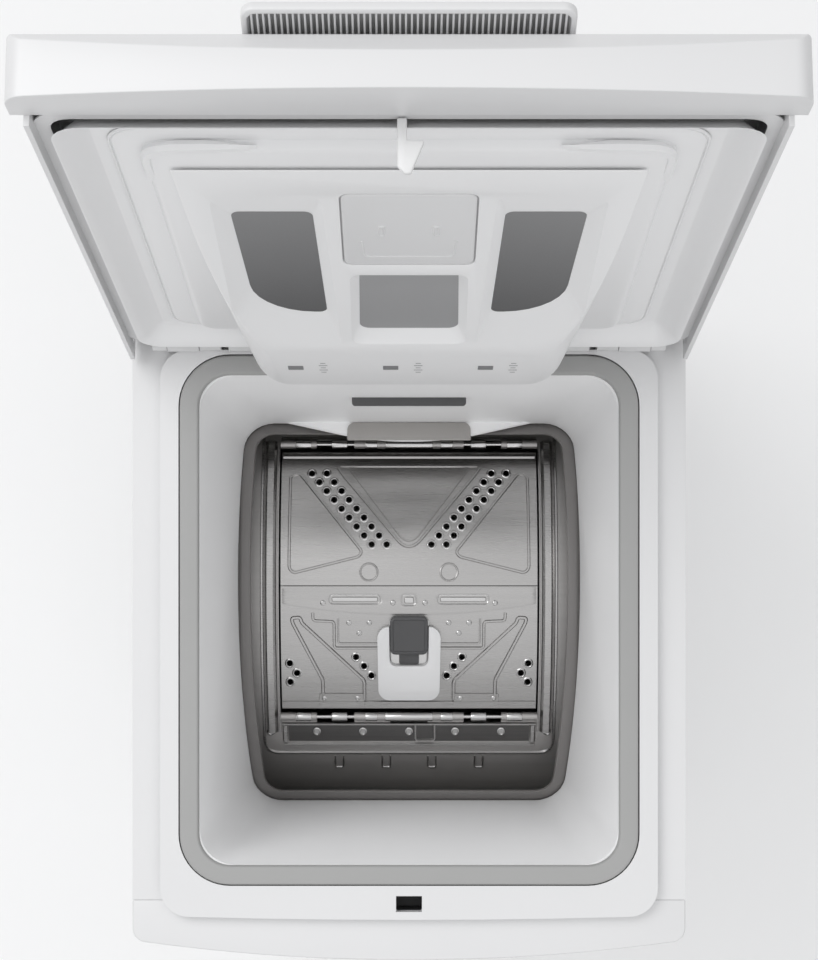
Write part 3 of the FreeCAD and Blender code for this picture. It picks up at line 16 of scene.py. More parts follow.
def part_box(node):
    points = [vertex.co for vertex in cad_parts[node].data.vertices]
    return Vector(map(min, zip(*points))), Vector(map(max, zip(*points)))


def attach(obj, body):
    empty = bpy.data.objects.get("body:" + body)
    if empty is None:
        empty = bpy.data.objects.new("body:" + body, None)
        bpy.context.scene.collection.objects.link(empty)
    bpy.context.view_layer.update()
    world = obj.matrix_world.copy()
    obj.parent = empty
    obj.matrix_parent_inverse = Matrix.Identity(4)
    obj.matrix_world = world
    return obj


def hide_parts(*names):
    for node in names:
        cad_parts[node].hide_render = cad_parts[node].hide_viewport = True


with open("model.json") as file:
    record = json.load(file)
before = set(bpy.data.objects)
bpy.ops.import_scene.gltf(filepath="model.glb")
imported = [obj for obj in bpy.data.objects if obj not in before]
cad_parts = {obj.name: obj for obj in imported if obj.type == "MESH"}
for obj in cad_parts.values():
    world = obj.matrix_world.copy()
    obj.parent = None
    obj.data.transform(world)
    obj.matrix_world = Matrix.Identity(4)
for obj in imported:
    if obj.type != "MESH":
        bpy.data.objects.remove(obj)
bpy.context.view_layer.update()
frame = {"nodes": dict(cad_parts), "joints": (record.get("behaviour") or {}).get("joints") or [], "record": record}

MM = 0.001

# %% [markdown]
# ## The places that the new pieces share
# Every size is read from the frame's own parts, so nothing has to be fitted by eye. The lid is
# modelled lying shut on a drawing board, where y runs from the hinge to the handle and z points
# out of the lining, and one turn puts it where it stands open.

# %% Shared places
lid_joint = next(j for j in frame["joints"] if j["name"] == "lid_hinge")
drum_joint = next(j for j in frame["joints"] if j["name"] == "drum_spin")
lid_line, drum_line = Vector(lid_joint["pos_m"]), Vector(drum_joint["pos_m"])
open_turn = math.radians(abs(lid_joint["range_deg"][0]))
seal_low, seal_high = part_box("lid_seal")
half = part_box("side_panel_right")[1].x
drum_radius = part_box("drum_end_right")[1].z - drum_line.z
print("half width", round(half, 4), "drum radius", round(drum_radius, 4))

# %% [markdown]
# ## Tools for the bench
# Each operator acts on everything that is selected, so these helpers clear the selection, enter
# edit mode on one piece and pick faces or edges by their place or the way they face.

# %% Picking by place
def alone(piece):
    bpy.ops.object.select_all(action="DESELECT")
    piece.select_set(True)
    bpy.context.view_layer.objects.active = piece


def pick(piece, kind, wanted):
    """In edit mode, select the faces, edges or verts for which wanted(item) is true."""
    bpy.ops.mesh.select_mode(type={"faces": "FACE", "edges": "EDGE", "verts": "VERT"}[kind])
    bpy.ops.mesh.select_all(action="DESELECT")
    net = bmesh.from_edit_mesh(piece.data)
    for item in getattr(net, kind):
        if wanted(item):
            item.select_set(True)
    net.select_flush(True)
    bmesh.update_edit_mesh(piece.data)


def named(piece, name):
    piece.name = name
    piece.data.name = name
    return piece


# %% [markdown]
# ## Finishes
# A moulded or painted surface is never one flat colour: a slow cloud of noise shifts the colour
# and the gloss a little, and a fine noise lifts the surface into a grain. One recipe makes them
# all, and brushed steel only stretches its noise along the brushing.

# %% The recipe for a surface
def surface(name, light, dark, gloss, cloud=9.0, grain=900.0, depth=0.00003, stretch=(1, 1, 1), **fixed):
    """Noise between two colours, a gloss range and a grain, all on Object coordinates."""
    made = bpy.data.materials.new(name)
    made.use_nodes = True
    nodes, links = made.node_tree.nodes, made.node_tree.links
    shader = nodes["Principled BSDF"]
    for socket, value in fixed.items():
        shader.inputs[socket.replace("_", " ")].default_value = value
    place = nodes.new("ShaderNodeTexCoord")
    spread = nodes.new("ShaderNodeMapping")
    spread.inputs["Scale"].default_value = stretch
    links.new(place.outputs["Object"], spread.inputs["Vector"])
    clouds = nodes.new("ShaderNodeTexNoise")
    clouds.inputs["Scale"].default_value = cloud
    clouds.inputs["Detail"].default_value = 4
    links.new(spread.outputs["Vector"], clouds.inputs["Vector"])
    tint = nodes.new("ShaderNodeMix")
    tint.data_type = "RGBA"
    tint.inputs["A"].default_value = (*light, 1)
    tint.inputs["B"].default_value = (*dark, 1)
    links.new(clouds.outputs["Fac"], tint.inputs["Factor"])
    links.new(tint.outputs["Result"], shader.inputs["Base Color"])
    fine = nodes.new("ShaderNodeTexNoise")
    fine.inputs["Scale"].default_value = grain
    fine.inputs["Detail"].default_value = 3
    links.new(spread.outputs["Vector"], fine.inputs["Vector"])
    sheen = nodes.new("ShaderNodeMapRange")
    sheen.inputs["To Min"].default_value, sheen.inputs["To Max"].default_value = gloss
    links.new(fine.outputs["Fac"], sheen.inputs["Value"])
    links.new(sheen.outputs["Result"], shader.inputs["Roughness"])
    relief = nodes.new("ShaderNodeBump")
    relief.inputs["Strength"].default_value = 0.6
    relief.inputs["Distance"].default_value = depth
    links.new(fine.outputs["Fac"], relief.inputs["Height"])
    links.new(relief.outputs["Normal"], shader.inputs["Normal"])
    return made


# %% [markdown]
# ## One finish for each slot of the record
# The frame's record says which material slot each part has. The painted cabinet has a faint
# orange peel, the moulded whites a fine spark-eroded grain, and the drum a long brushed streak
# along its axis. The drum's shell is duller than its doors, so it has a finish of its own.

# %% Finishes by slot
WHITE, OFF_WHITE = (0.77, 0.77, 0.773), (0.745, 0.745, 0.75)
BRUSHED = (3, 220, 220)
finishes = {
    "white_steel": surface("white_enamel", WHITE, OFF_WHITE, (0.22, 0.34), grain=420, Coat_Weight=0.35),
    "white_plastic": surface("white_moulding", WHITE, OFF_WHITE, (0.27, 0.40), grain=1500),
    "liner_plastic": surface("white_lining", (0.91, 0.91, 0.913), (0.885, 0.885, 0.89), (0.33, 0.48), grain=1300),
    "seal_rubber": surface("grey_seal", (0.40, 0.40, 0.395), (0.37, 0.37, 0.365), (0.5, 0.68), grain=1800,
                           depth=0.00006),
    "hook_plastic": surface("hook_acetal", (0.82, 0.82, 0.82), (0.78, 0.78, 0.78), (0.3, 0.42)),
    "gasket_rubber": surface("gasket_rubber", (0.10, 0.095, 0.09), (0.075, 0.07, 0.068), (0.45, 0.65), depth=0.00008),
    "belt_rubber": surface("belt_rubber", (0.02, 0.02, 0.02), (0.03, 0.03, 0.03), (0.5, 0.8), depth=0.00012),
    "dark_plastic": surface("dark_moulding", (0.085, 0.085, 0.087), (0.068, 0.068, 0.071), (0.32, 0.5), grain=1600),
    "knob_plastic": surface("knob_moulding", (0.84, 0.84, 0.84), (0.81, 0.81, 0.81), (0.2, 0.32)),
    "display_glass": surface("smoked_window", (0.012, 0.013, 0.015), (0.02, 0.02, 0.022), (0.04, 0.1), depth=0.000004,
                             Coat_Weight=0.6),
    "drum_steel": surface("drum_stainless", (0.47, 0.462, 0.456), (0.42, 0.412, 0.406), (0.24, 0.32), cloud=1.2,
                          grain=14, depth=0.000003, stretch=BRUSHED, Metallic=1.0, Anisotropic=0.3),
    "bright_steel": surface("bright_steel", (0.62, 0.615, 0.61), (0.54, 0.535, 0.53), (0.16, 0.26), Metallic=1.0),
    "frame_steel": surface("zinc_plate", (0.50, 0.51, 0.52), (0.40, 0.41, 0.42), (0.35, 0.55), cloud=60, Metallic=1.0),
    "tub_plastic": surface("filled_polypropylene", (0.42, 0.42, 0.40), (0.37, 0.37, 0.35), (0.45, 0.62)),
    "cast_parts": surface("die_cast", (0.48, 0.48, 0.48), (0.42, 0.42, 0.42), (0.4, 0.6), cloud=30, grain=600,
                          depth=0.0002, Metallic=0.9),
}
for part in frame["record"]["subparts"]:
    node = frame["nodes"][part["node"]]
    node.data.materials.clear()
    node.data.materials.append(finishes[part["material_slot"]])
shell_finish = surface("drum_shell_stainless", (0.50, 0.485, 0.475), (0.44, 0.428, 0.42), (0.42, 0.52), cloud=1.2,
                       grain=14, depth=0.000003, stretch=BRUSHED, Metallic=0.8)
frame["nodes"]["drum_shell"].data.materials[0] = shell_finish
print("finishes:", len(finishes))

# %% [markdown]
# ## The bench
# New pieces are drawn at real size in millimetres and scaled to metres when they are handed over.
# Most of them start as one flat rectangle whose corners are bevelled round. Insetting that face
# again and again, each time a little up or down, gives any stepped or dished moulding.

# %% Flat starts, steps and booleans
def rounded_sheet(name, low, high, level, radius, cuts=8):
    """One flat face with round corners, left selected in edit mode."""
    bpy.ops.object.select_all(action="DESELECT")
    middle = ((low[0] + high[0]) / 2, (low[1] + high[1]) / 2, level)
    bpy.ops.mesh.primitive_plane_add(size=1, location=middle)
    piece = named(bpy.context.object, name)
    piece.scale = (high[0] - low[0], high[1] - low[1], 1)
    bpy.ops.object.transform_apply(location=True, rotation=True, scale=True)
    bpy.ops.object.mode_set(mode="EDIT")
    bpy.ops.mesh.select_all(action="SELECT")
    bpy.ops.mesh.bevel(offset=radius, segments=cuts, affect="VERTICES")
    bpy.ops.mesh.select_all(action="SELECT")
    return piece


def step_in(*moves):
    """Inset the chosen face again and again; each move is how far in and how far up."""
    for inward, rise in moves:
        bpy.ops.mesh.inset(thickness=inward, depth=rise)


def close_shell():
    """Turn every face of the piece in edit mode outwards and leave edit mode."""
    bpy.ops.mesh.select_all(action="SELECT")
    bpy.ops.mesh.normals_make_consistent(inside=False)
    bpy.ops.object.mode_set(mode="OBJECT")


def lifted(piece, rise):
    """A flat face pushed straight up into a closed solid."""
    bpy.ops.mesh.extrude_region_move(TRANSFORM_OT_translate={"value": (0, 0, rise)})
    close_shell()
    return piece


def raised_block(name, low, high, radius, cuts=8):
    """A solid with round upright corners between two opposite corners."""
    return lifted(rounded_sheet(name, low, high, low[2], radius, cuts), high[2] - low[2])


def rod(name, x_low, x_high, y, z, radius, sides):
    """A round rod along x."""
    bpy.ops.object.select_all(action="DESELECT")
    bpy.ops.mesh.primitive_cylinder_add(vertices=sides, radius=radius, depth=x_high - x_low,
                                        rotation=(0, math.pi / 2, 0), location=((x_low + x_high) / 2, y, z))
    bpy.ops.object.transform_apply(location=True, rotation=True, scale=True)
    return named(bpy.context.object, name)


def drill(name, spots, radius, deep, sides=16):
    """Round bars along z at all these spots, joined into one tool."""
    bars = []
    for x, y, z in spots:
        bpy.ops.mesh.primitive_cylinder_add(vertices=sides, radius=radius, depth=deep, location=(x, y, z))
        bars.append(bpy.context.object)
    return joined(name, bars)


def joined(name, pieces):
    """Several objects as one, with their places in the mesh."""
    alone(pieces[0])
    for piece in pieces:
        piece.select_set(True)
    if len(pieces) > 1:
        bpy.ops.object.join()
    bpy.ops.object.transform_apply(location=True, rotation=True, scale=True)
    return named(bpy.context.object, name)


def carve(piece, tool, how="DIFFERENCE"):
    change = piece.modifiers.new("carve", "BOOLEAN")
    change.object, change.operation, change.solver = tool, how, "EXACT"
    alone(piece)
    bpy.ops.object.modifier_apply(modifier=change.name)
    bpy.data.objects.remove(tool)
    return piece


def soften(piece, width, rounds=2, from_angle=30):
    """Round every edge sharper than an angle."""
    change = piece.modifiers.new("soften", "BEVEL")
    change.width, change.segments = width, rounds
    change.limit_method, change.angle_limit = "ANGLE", math.radians(from_angle)
    alone(piece)
    bpy.ops.object.modifier_apply(modifier=change.name)
    return piece


def thicken(piece, wall, side=-1.0):
    change = piece.modifiers.new("wall", "SOLIDIFY")
    change.thickness, change.offset = wall, side
    alone(piece)
    bpy.ops.object.modifier_apply(modifier=change.name)
    return piece


def hand_over(piece, body, slot, *nodes, where=Matrix.Identity(4), look=None, angle=32):
    """Scale a bench piece to metres, put it in place, give it its finish and let it ride on its body."""
    if bpy.context.mode != "OBJECT":
        bpy.ops.object.mode_set(mode="OBJECT")
    piece.data.transform(where @ Matrix.Scale(MM, 4))
    alone(piece)
    bpy.ops.object.shade_smooth_by_angle(angle=math.radians(angle))
    piece.data.materials.clear()
    piece.data.materials.append(look or finishes[slot])
    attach(piece, body)
    if nodes:
        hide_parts(*nodes)
    print(piece.name, "faces:", len(piece.data.polygons))
    return piece


# %% [markdown]
# ## Pressed steel on the drum
# The two drum doors are steel sheet, pressed with ridges and holes and then rolled. They are
# drawn flat, as seen from above, with y measured from the drum's axis, and then each point
# drops to the drum's curve. A Simple Deform bend could roll them too, but this keeps every
# ridge exactly above the place where it was drawn.

# %% Rolling a flat drawing onto the drum
ROUND = drum_radius / MM
on_drum = Matrix.Translation((0, drum_line.y, drum_line.z))


def rolled(piece, lift=0.0):
    """Move each point of a flat drawing to the drum's curve, keeping its height above the sheet."""
    for point in piece.data.vertices:
        x, across, height = point.co
        share = max(-0.999, min(0.999, across / ROUND))
        reach = ROUND + height + lift
        point.co = (x, reach * share, reach * math.sqrt(1 - share * share))
    return piece


def door_sheet(name, side, near, far, wall=1.0):
    """A finely divided rectangle of sheet between two lines, rolled and given its thickness."""
    bpy.ops.object.select_all(action="DESELECT")
    bpy.ops.mesh.primitive_grid_add(x_subdivisions=52, y_subdivisions=36, size=1, location=(0, (near + far) / 2, 0))
    sheet = named(bpy.context.object, name)
    sheet.scale = (2 * side, abs(far - near), 1)
    bpy.ops.object.transform_apply(location=True, rotation=True, scale=True)
    return thicken(rolled(sheet), wall)


# %% Ridges along a path
def bent(path, bend, closed, spacing=4.0):
    """The path's points with round corners, and points along the straight runs."""
    count, spots = len(path), []
    for n in range(count):
        here = Vector(path[n])
        if not closed and n in (0, count - 1):
            spots.append(here)
            continue
        before, after = Vector(path[n - 1]) - here, Vector(path[(n + 1) % count]) - here
        cut = min(bend, before.length / 2.01, after.length / 2.01)
        start, stop = here + before.normalized() * cut, here + after.normalized() * cut
        for k in range(6):
            t = k / 5
            spots.append(start * (1 - t) ** 2 + here * 2 * t * (1 - t) + stop * t * t)
    runs = []
    for n, spot in enumerate(spots if closed else spots[:-1]):
        following = spots[(n + 1) % len(spots)]
        parts = max(1, math.ceil((following - spot).length / spacing))
        runs += [spot.lerp(following, k / parts) for k in range(parts)]
    return runs if closed else [*runs, spots[-1]]


def ridge(name, path, wide=1.6, tall=0.6, closed=False, bend=3.0):
    """A half-round rope, flattened, along a path on the flat drawing."""
    spots = bent(path, bend, closed)
    line = bpy.data.curves.new(name, "CURVE")
    line.dimensions = "3D"
    run = line.splines.new("POLY")
    run.points.add(len(spots) - 1)
    for point, spot in zip(run.points, spots):
        point.co = (spot.x, spot.y, 0, 1)
    run.use_cyclic_u = closed
    line.bevel_depth, line.bevel_resolution = wide / 2, 1
    line.use_fill_caps = not closed
    rope = bpy.data.objects.new(name, line)
    bpy.context.scene.collection.objects.link(rope)
    alone(rope)
    bpy.ops.object.convert(target="MESH")
    rope = bpy.context.object
    rope.data.transform(Matrix.Diagonal((1, 1, 2 * tall / wide, 1)))
    return rope


def both_sides(path):
    return [path, [(-x, y) for x, y in path]]


# %% [markdown]
# ## Holes and rivets
# A drain hole in pressed steel is punched through the middle of a small cup, so it shows a
# bright ring round a dark eye. One cup and one rivet are modelled and then copied.

# %% One cup, one rivet, many places
def cup_ring(radius):
    """The bright pressed edge round one hole: a disc inset twice into a soft raised lip."""
    bpy.ops.object.select_all(action="DESELECT")
    bpy.ops.mesh.primitive_circle_add(vertices=20, radius=radius + 1.5, fill_type="NGON")
    ring = bpy.context.object
    bpy.ops.object.mode_set(mode="EDIT")
    bpy.ops.mesh.select_all(action="SELECT")
    step_in((0.45, 0.38), (0.45, 0.14), (0.35, -0.2), (0.25, -0.5))
    bpy.ops.mesh.delete(type="FACE")
    bpy.ops.object.mode_set(mode="OBJECT")
    return ring


def rivet_head(radius=2.1):
    """A low button head: a disc stepped up into a dome with a small dimple."""
    bpy.ops.object.select_all(action="DESELECT")
    bpy.ops.mesh.primitive_circle_add(vertices=20, radius=radius, fill_type="NGON")
    head = bpy.context.object
    bpy.ops.object.mode_set(mode="EDIT")
    bpy.ops.mesh.select_all(action="SELECT")
    step_in((0.1, 0.45), (0.4, 0.35), (0.6, 0.12), (0.3, -0.3))
    bpy.ops.object.mode_set(mode="OBJECT")
    return head


def spread(name, model, spots):
    """Copies of one small model, each with its own mesh, joined as one piece."""
    copies = []
    for x, y, z in spots:
        twin = bpy.data.objects.new(name, model.data.copy())
        bpy.context.scene.collection.objects.link(twin)
        twin.data.transform(Matrix.Translation((x, y, z)))
        copies.append(twin)
    bpy.data.objects.remove(model)
    return joined(name, copies)


def mirrored_spots(spots):
    return [(sign * x, y, 0.0) for x, y in spots for sign in (-1, 1)]


# %% [markdown]
# ## The rear drum door
# Its two bands of drain holes make a wide V, with a pressed ridge on each side of each band and
# two round bosses near the edge where the doors meet. The holes are cut after the sheet is
# rolled, so that the sheet's fine divisions keep their smooth curve up to each hole.

# %% Rear door sheet, holes and ridges
DOOR_SIDE, MEET, DOOR_EDGE = 98.5, -5.0, 99.5
HOLE = 2.3


def band_of_holes():
    """Nine rows of two holes down each arm of the V."""
    spots = [(-75.1 + 5.8 * row + 11.5 * column, 82.6 - 6.95 * row) for row in range(9) for column in (0, 1)]
    return mirrored_spots(spots)


def cut_holes(sheet, spots):
    """Punch upright holes through a rolled sheet at places of the flat drawing."""
    bars = [(x, y, math.sqrt(ROUND ** 2 - y ** 2)) for x, y, _ in spots]
    return carve(sheet, drill("punch", bars, HOLE, 14))


rear_spots = band_of_holes()
rear_sheet = cut_holes(door_sheet("rear_door_sheet", DOOR_SIDE, MEET + 0.5, DOOR_EDGE), rear_spots)
cups = rolled(spread("rear_door_cups", cup_ring(HOLE), rear_spots))

side_panel = [(-91.5, 80.5), (-84.5, 82.5), (-36.0, 21.5), (-38.5, 17.5), (-88.5, 5.0), (-92.0, 8.5)]
valley = [(-55.0, 87.0), (-50.5, 80.5), (-6.5, 27.5), (0, 24.5), (6.5, 27.5), (50.5, 80.5), (55.0, 87.0)]
inner_valley = [(x * 0.9, y + 4.5) for x, y in valley[1:-1]]
rear_ridges = [ridge("rear_panel_ridge", path, 2.3, 1.4, closed=True) for path in both_sides(side_panel)]
rear_ridges += [ridge("rear_valley_ridge", valley, 2.4, 1.5, bend=7)]
rear_ridges += [ridge("rear_valley_inner", inner_valley, 1.5, 1.1, bend=7)]
rear_ridges += [ridge("rear_top_ridge", [(-53, 88.5), (53, 88.5)], 2.4, 1.3)]
for boss_x in (-30.7, 30.7):
    bpy.ops.object.select_all(action="DESELECT")
    bpy.ops.mesh.primitive_torus_add(location=(boss_x, 5.7, 0), major_radius=6.6, minor_radius=0.8,
                                     major_segments=36, minor_segments=8)
    rear_ridges.append(bpy.context.object)
rear_pressing = rolled(joined("rear_door_pressing", rear_ridges))
hand_over(rear_sheet, "rear_drum_door", "drum_steel", "rear_drum_door", where=on_drum)
hand_over(rear_pressing, "rear_drum_door", "drum_steel", where=on_drum)
hand_over(cups, "rear_drum_door", "bright_steel", where=on_drum)

# %% [markdown]
# ## The front drum door
# The front door carries the latch. It has two tall A-shaped pressings, a stepped plate held by
# rivets, and groups of three drain holes.

# %% Front door sheet
front_spots = mirrored_spots([(-92.0, -64.3), (-86.5, -71.8), (-91.8, -78.8), (-40.8, -59.5), (-34.7, -66.5),
                              (-29.0, -73.8)])
front_sheet = cut_holes(door_sheet("front_door_sheet", DOOR_SIDE, -DOOR_EDGE, MEET - 0.1), front_spots)
front_cups = rolled(spread("front_door_cups", cup_ring(HOLE), front_spots))
arm = [(-66.5, -92.5), (-66.5, -77), (-89.5, -33), (-90.0, -29.5), (-83.5, -29.0), (-82.5, -33), (-34.5, -77.5),
       (-34.5, -92.5)]
shelf = [(-73.8, -25.5), (-73.8, -31.5), (-57.5, -32.2), (-57.5, -52.5), (57.5, -52.5), (57.5, -32.2), (73.8, -31.5),
         (73.8, -25.5)]
inner_shelf = [(-54.5, -30.0), (-54.5, -49.0), (54.5, -49.0), (54.5, -30.0)]
front_ridges = [ridge("front_arm_ridge", path, 2.9, 1.5, bend=2.5) for path in both_sides(arm)]
front_ridges += [ridge("shelf_ridge", shelf, 2.3, 1.4, bend=2.5)]
front_ridges += [ridge("shelf_inner_ridge", inner_shelf, 1.5, 1.0, bend=2.5)]
front_ridges += [ridge("lower_edge_ridge", [(-98, -94.5), (98, -94.5)], 2.2, 1.3)]
front_pressing = rolled(joined("front_door_pressing", front_ridges))
plates = []
for sign in (-1, 1):
    foot_plate = rounded_sheet("hinge_foot", (sign * 52 - 17.5, -98), (sign * 52 + 17.5, -87.5), 0.1, 1.5, 4)
    step_in((0.3, 0.7))
    bpy.ops.object.mode_set(mode="OBJECT")
    plates.append(foot_plate)
foot_plates = rolled(joined("front_door_foot_plates", plates))
hand_over(front_sheet, "front_drum_door", "drum_steel", "front_drum_door", where=on_drum)
hand_over(front_pressing, "front_drum_door", "drum_steel", where=on_drum)
hand_over(front_cups, "front_drum_door", "bright_steel", where=on_drum)
hand_over(foot_plates, "front_drum_door", "drum_steel", where=on_drum)

# %% [markdown]
# ## The cross bar and its rivets
# A stiff bar lies over the front door's free edge. Its lower edge bows forward in the middle.
# Two long grips and one half-round hole are pressed into it.

# %% Cross bar
BAR_SIDE, BAR_LIFT, BAR_DRAWN, BAR_END, BAR_BOW = 97.0, 1.6, 12.0, 12.6, 9.0
bpy.ops.object.select_all(action="DESELECT")
bpy.ops.mesh.primitive_grid_add(x_subdivisions=60, y_subdivisions=12, size=1, location=(0, -12, 0))
bar = named(bpy.context.object, "front_door_bar")
bar.scale = (2 * BAR_SIDE, BAR_DRAWN, 1)
bpy.ops.object.transform_apply(location=True, rotation=True, scale=True)
for point in bar.data.vertices:
    bow = 1 - (point.co.x / BAR_SIDE) ** 2
    share = (-6.0 - point.co.y) / BAR_DRAWN
    point.co.y = -5.6 - share * (BAR_END + BAR_BOW * bow ** 0.9)
thicken(rolled(bar, BAR_LIFT), 1.2)
grip_holes = [raised_block("grip_hole", (x - 20.2, -19.4, 200), (x + 20.2, -11.0, 240), 3.6, 5) for x in (-41.5, 41.5)]
grip_holes.append(raised_block("middle_hole", (-6.4, -20.6, 200), (6.4, -11.0, 240), 3.0, 5))
carve(bar, joined("grip_holes", grip_holes))
soften(bar, 0.35, 2, 40)
hand_over(bar, "front_drum_door", "drum_steel", where=on_drum)

grips = []
for x, long, near in ((-41.5, 19.6, -19.0), (41.5, 19.6, -19.0), (0, 5.6, -20.2)):
    grip = rounded_sheet("grip", (x - long, near), (x + long, -11.4), -1.2, 3.2, 5)
    step_in((1.0, -0.6), (0.8, 0.0), (0.6, 1.4), (0.5, 0.1))
    bpy.ops.object.mode_set(mode="OBJECT")
    grips.append(grip)
bar_grips = rolled(joined("front_door_grips", grips), BAR_LIFT)
hand_over(bar_grips, "front_drum_door", "bright_steel", where=on_drum)

bar_rivets = rolled(spread("bar_rivets", rivet_head(), mirrored_spots([(-66.0, -17.8), (-12.3, -17.6)])), BAR_LIFT)
shelf_rivets = rolled(spread("shelf_rivets", rivet_head(), mirrored_spots([(-46.1, -33.0), (-30.4, -33.0),
                                                                          (-38.2, -41.0)])))
foot_rivets = rolled(spread("foot_rivets", rivet_head(1.9), mirrored_spots([(-65.5, -91.3), (-39.8, -91.3)])), 0.7)
for rivets in (bar_rivets, shelf_rivets, foot_rivets):
    hand_over(rivets, "front_drum_door", "bright_steel", where=on_drum)

# %% [markdown]
# ## The latch: a white cover and a dark push button
# The cover is one moulding with a U-shaped opening for the button. The button is a rounded
# square with a pressed finger hollow. Both are drawn flat and rolled like the doors.

# %% Latch cover
COVER_SIDE, COVER_NEAR, COVER_FAR, COVER_RISE = 24.4, -91.6, -35.4, 6.6
latch = raised_block("latch_cover_shell", (-COVER_SIDE, COVER_NEAR, 0), (COVER_SIDE, COVER_FAR, COVER_RISE), 9, 8)
carve(latch, raised_block("button_bay", (-15.1, -64.7, -1), (15.1, -20, 12), 5, 6))
soften(latch, 1.5, 3, 50)
alone(latch)
bpy.ops.object.mode_set(mode="EDIT")
for level in (-84, -76, -68, -60, -52, -44):
    bpy.ops.mesh.select_all(action="SELECT")
    bpy.ops.mesh.bisect(plane_co=(0, level, 0), plane_no=(0, 1, 0))
bpy.ops.object.mode_set(mode="OBJECT")
for point in latch.data.vertices:
    slope = max(0.0, (COVER_NEAR + 12 - point.co.y) / 12)
    if point.co.z > 2:
        point.co.z -= 2.6 * slope
    point.co.x *= 1 - 0.035 * max(0.0, (-40 - point.co.y) / 50)
hand_over(rolled(latch, 0.2), "front_drum_door", "white_plastic", "latch_cover", where=on_drum)

bay_floor = rounded_sheet("latch_bay_floor", (-15.3, -64.9), (15.3, -29), 1.0, 4, 5)
step_in((0.5, 0.3))
bpy.ops.object.mode_set(mode="OBJECT")
hand_over(rolled(bay_floor), "front_drum_door", "bright_steel", where=on_drum)
tongue = raised_block("latch_tongue", (-7.6, -64.0, 1.2), (7.6, -50, 3.6), 1.2, 3)
hand_over(rolled(soften(tongue, 0.4)), "front_drum_door", "dark_plastic", where=on_drum)

# %% Push button
button = raised_block("latch_push_button", (-14.5, -55.8, 0.8), (14.5, -27.8, 7.4), 4.2, 6)
bpy.ops.object.mode_set(mode="EDIT")
pick(button, "faces", lambda face: face.normal.z > 0.9)
step_in((0.5, 0.5), (0.7, 0.2), (0.9, 0.0), (0.5, -0.7), (0.8, -0.2))
bpy.ops.object.mode_set(mode="OBJECT")
hand_over(rolled(button), "latch_button", "dark_plastic", "latch_button", where=on_drum)

# %% [markdown]
# ## The lid lining
# The lining is a shallow tray of moulded plastic. Its rim slopes down to a floor, and on that
# floor stands a plateau with two soft steps and a thin groove round it. Two inset stacks make
# both, because insetting keeps every step parallel to the first outline.

# %% The lid's drawing board
on_lid = Matrix.Translation(lid_line) @ Matrix.Rotation(math.pi - open_turn, 4, "X")
LID_HALF = half / MM


def sheet_of(name, corners, radii, level, cuts=8):
    """A flat face with four free corners, each rounded by its own radius, left in edit mode."""
    bpy.ops.object.select_all(action="DESELECT")
    bpy.ops.mesh.primitive_plane_add(size=1)
    piece = named(bpy.context.object, name)
    order = sorted(range(4), key=lambda n: math.atan2(piece.data.vertices[n].co.y, piece.data.vertices[n].co.x))
    middle = Vector([sum(c[k] for c in corners) / 4 for k in (0, 1)])
    turning = sorted(zip(corners, radii), key=lambda c: math.atan2(c[0][1] - middle.y, c[0][0] - middle.x))
    for index, (corner, _) in zip(order, turning):
        piece.data.vertices[index].co = (*corner, level)
    bpy.ops.object.mode_set(mode="EDIT")
    for corner, radius in turning:
        spot = Vector((*corner, level))
        pick(piece, "verts", lambda v: (v.co - spot).length < 0.01)
        bpy.ops.mesh.bevel(offset=radius, segments=cuts, affect="VERTICES")
    bpy.ops.mesh.select_all(action="SELECT")
    return piece


def funnel(name, inner, inner_radii, floor_level, outer, outer_radii, top_level):
    """A solid between two outlines at two levels, for cutting a sloping recess."""
    sheets = []
    for corners, radii, level in ((inner, inner_radii, floor_level), (outer, outer_radii, top_level)):
        sheets.append(sheet_of(name, corners, radii, level, 7))
        bpy.ops.object.mode_set(mode="OBJECT")
    both = joined(name, sheets)
    bpy.ops.object.mode_set(mode="EDIT")
    pick(both, "edges", lambda edge: True)
    bpy.ops.mesh.bridge_edge_loops()
    close_shell()
    return both


# %% [markdown]
# The lining's rim is drawn first and stepped down to the floor. A thin margin closes the gap
# between the rim and the lid's shell. The plateau and the mesa on it are two more stacks.

# %% Lining tray, margin and plateau
FLOOR = -2.6
lining = rounded_sheet("lid_lining", (-LID_HALF + 10, 14), (LID_HALF - 10, 390), 9.9, 17.5, 6)
step_in((1.0, -0.2), (4.5, -4.0), (6.0, -6.2), (4.5, -2.6), (1.2, -0.2))
hand_over(lining, "lid", "liner_plastic", "lid_inner", where=on_lid, angle=40)

margin = rounded_sheet("lid_margin", (-LID_HALF + 1.5, 7), (LID_HALF - 1.5, 397.5), 4.5, 20, 6)
step_in((8.8, 0.3))
bpy.ops.mesh.delete(type="FACE")
bpy.ops.object.mode_set(mode="OBJECT")
hand_over(thicken(margin, 0.8), "lid", "white_plastic", where=on_lid, angle=40)

plateau = rounded_sheet("lid_plateau", (-159, 26), (159, 363), FLOOR - 0.1, 20, 10)
step_in((0.5, 1.0), (0.5, 0.1), (0.6, -1.4), (0.5, 0.0), (0.4, 1.2), (0.6, 0.3), (12.0, 0.8))
hand_over(plateau, "lid", "liner_plastic", where=on_lid, angle=40)
mesa = rounded_sheet("lid_mesa", (-142, 34), (142, 349), -0.9, 14, 10)
step_in((0.8, 1.6), (1.6, 2.4), (1.4, 1.2), (1.2, 0.4))
hand_over(mesa, "lid", "liner_plastic", where=on_lid, angle=40)

# %% [markdown]
# The corners of the plateau have long scoops with pointed ends. Each is a thin curved lip that
# follows a path, so it is made as a flattened ridge that tapers away at both ends.

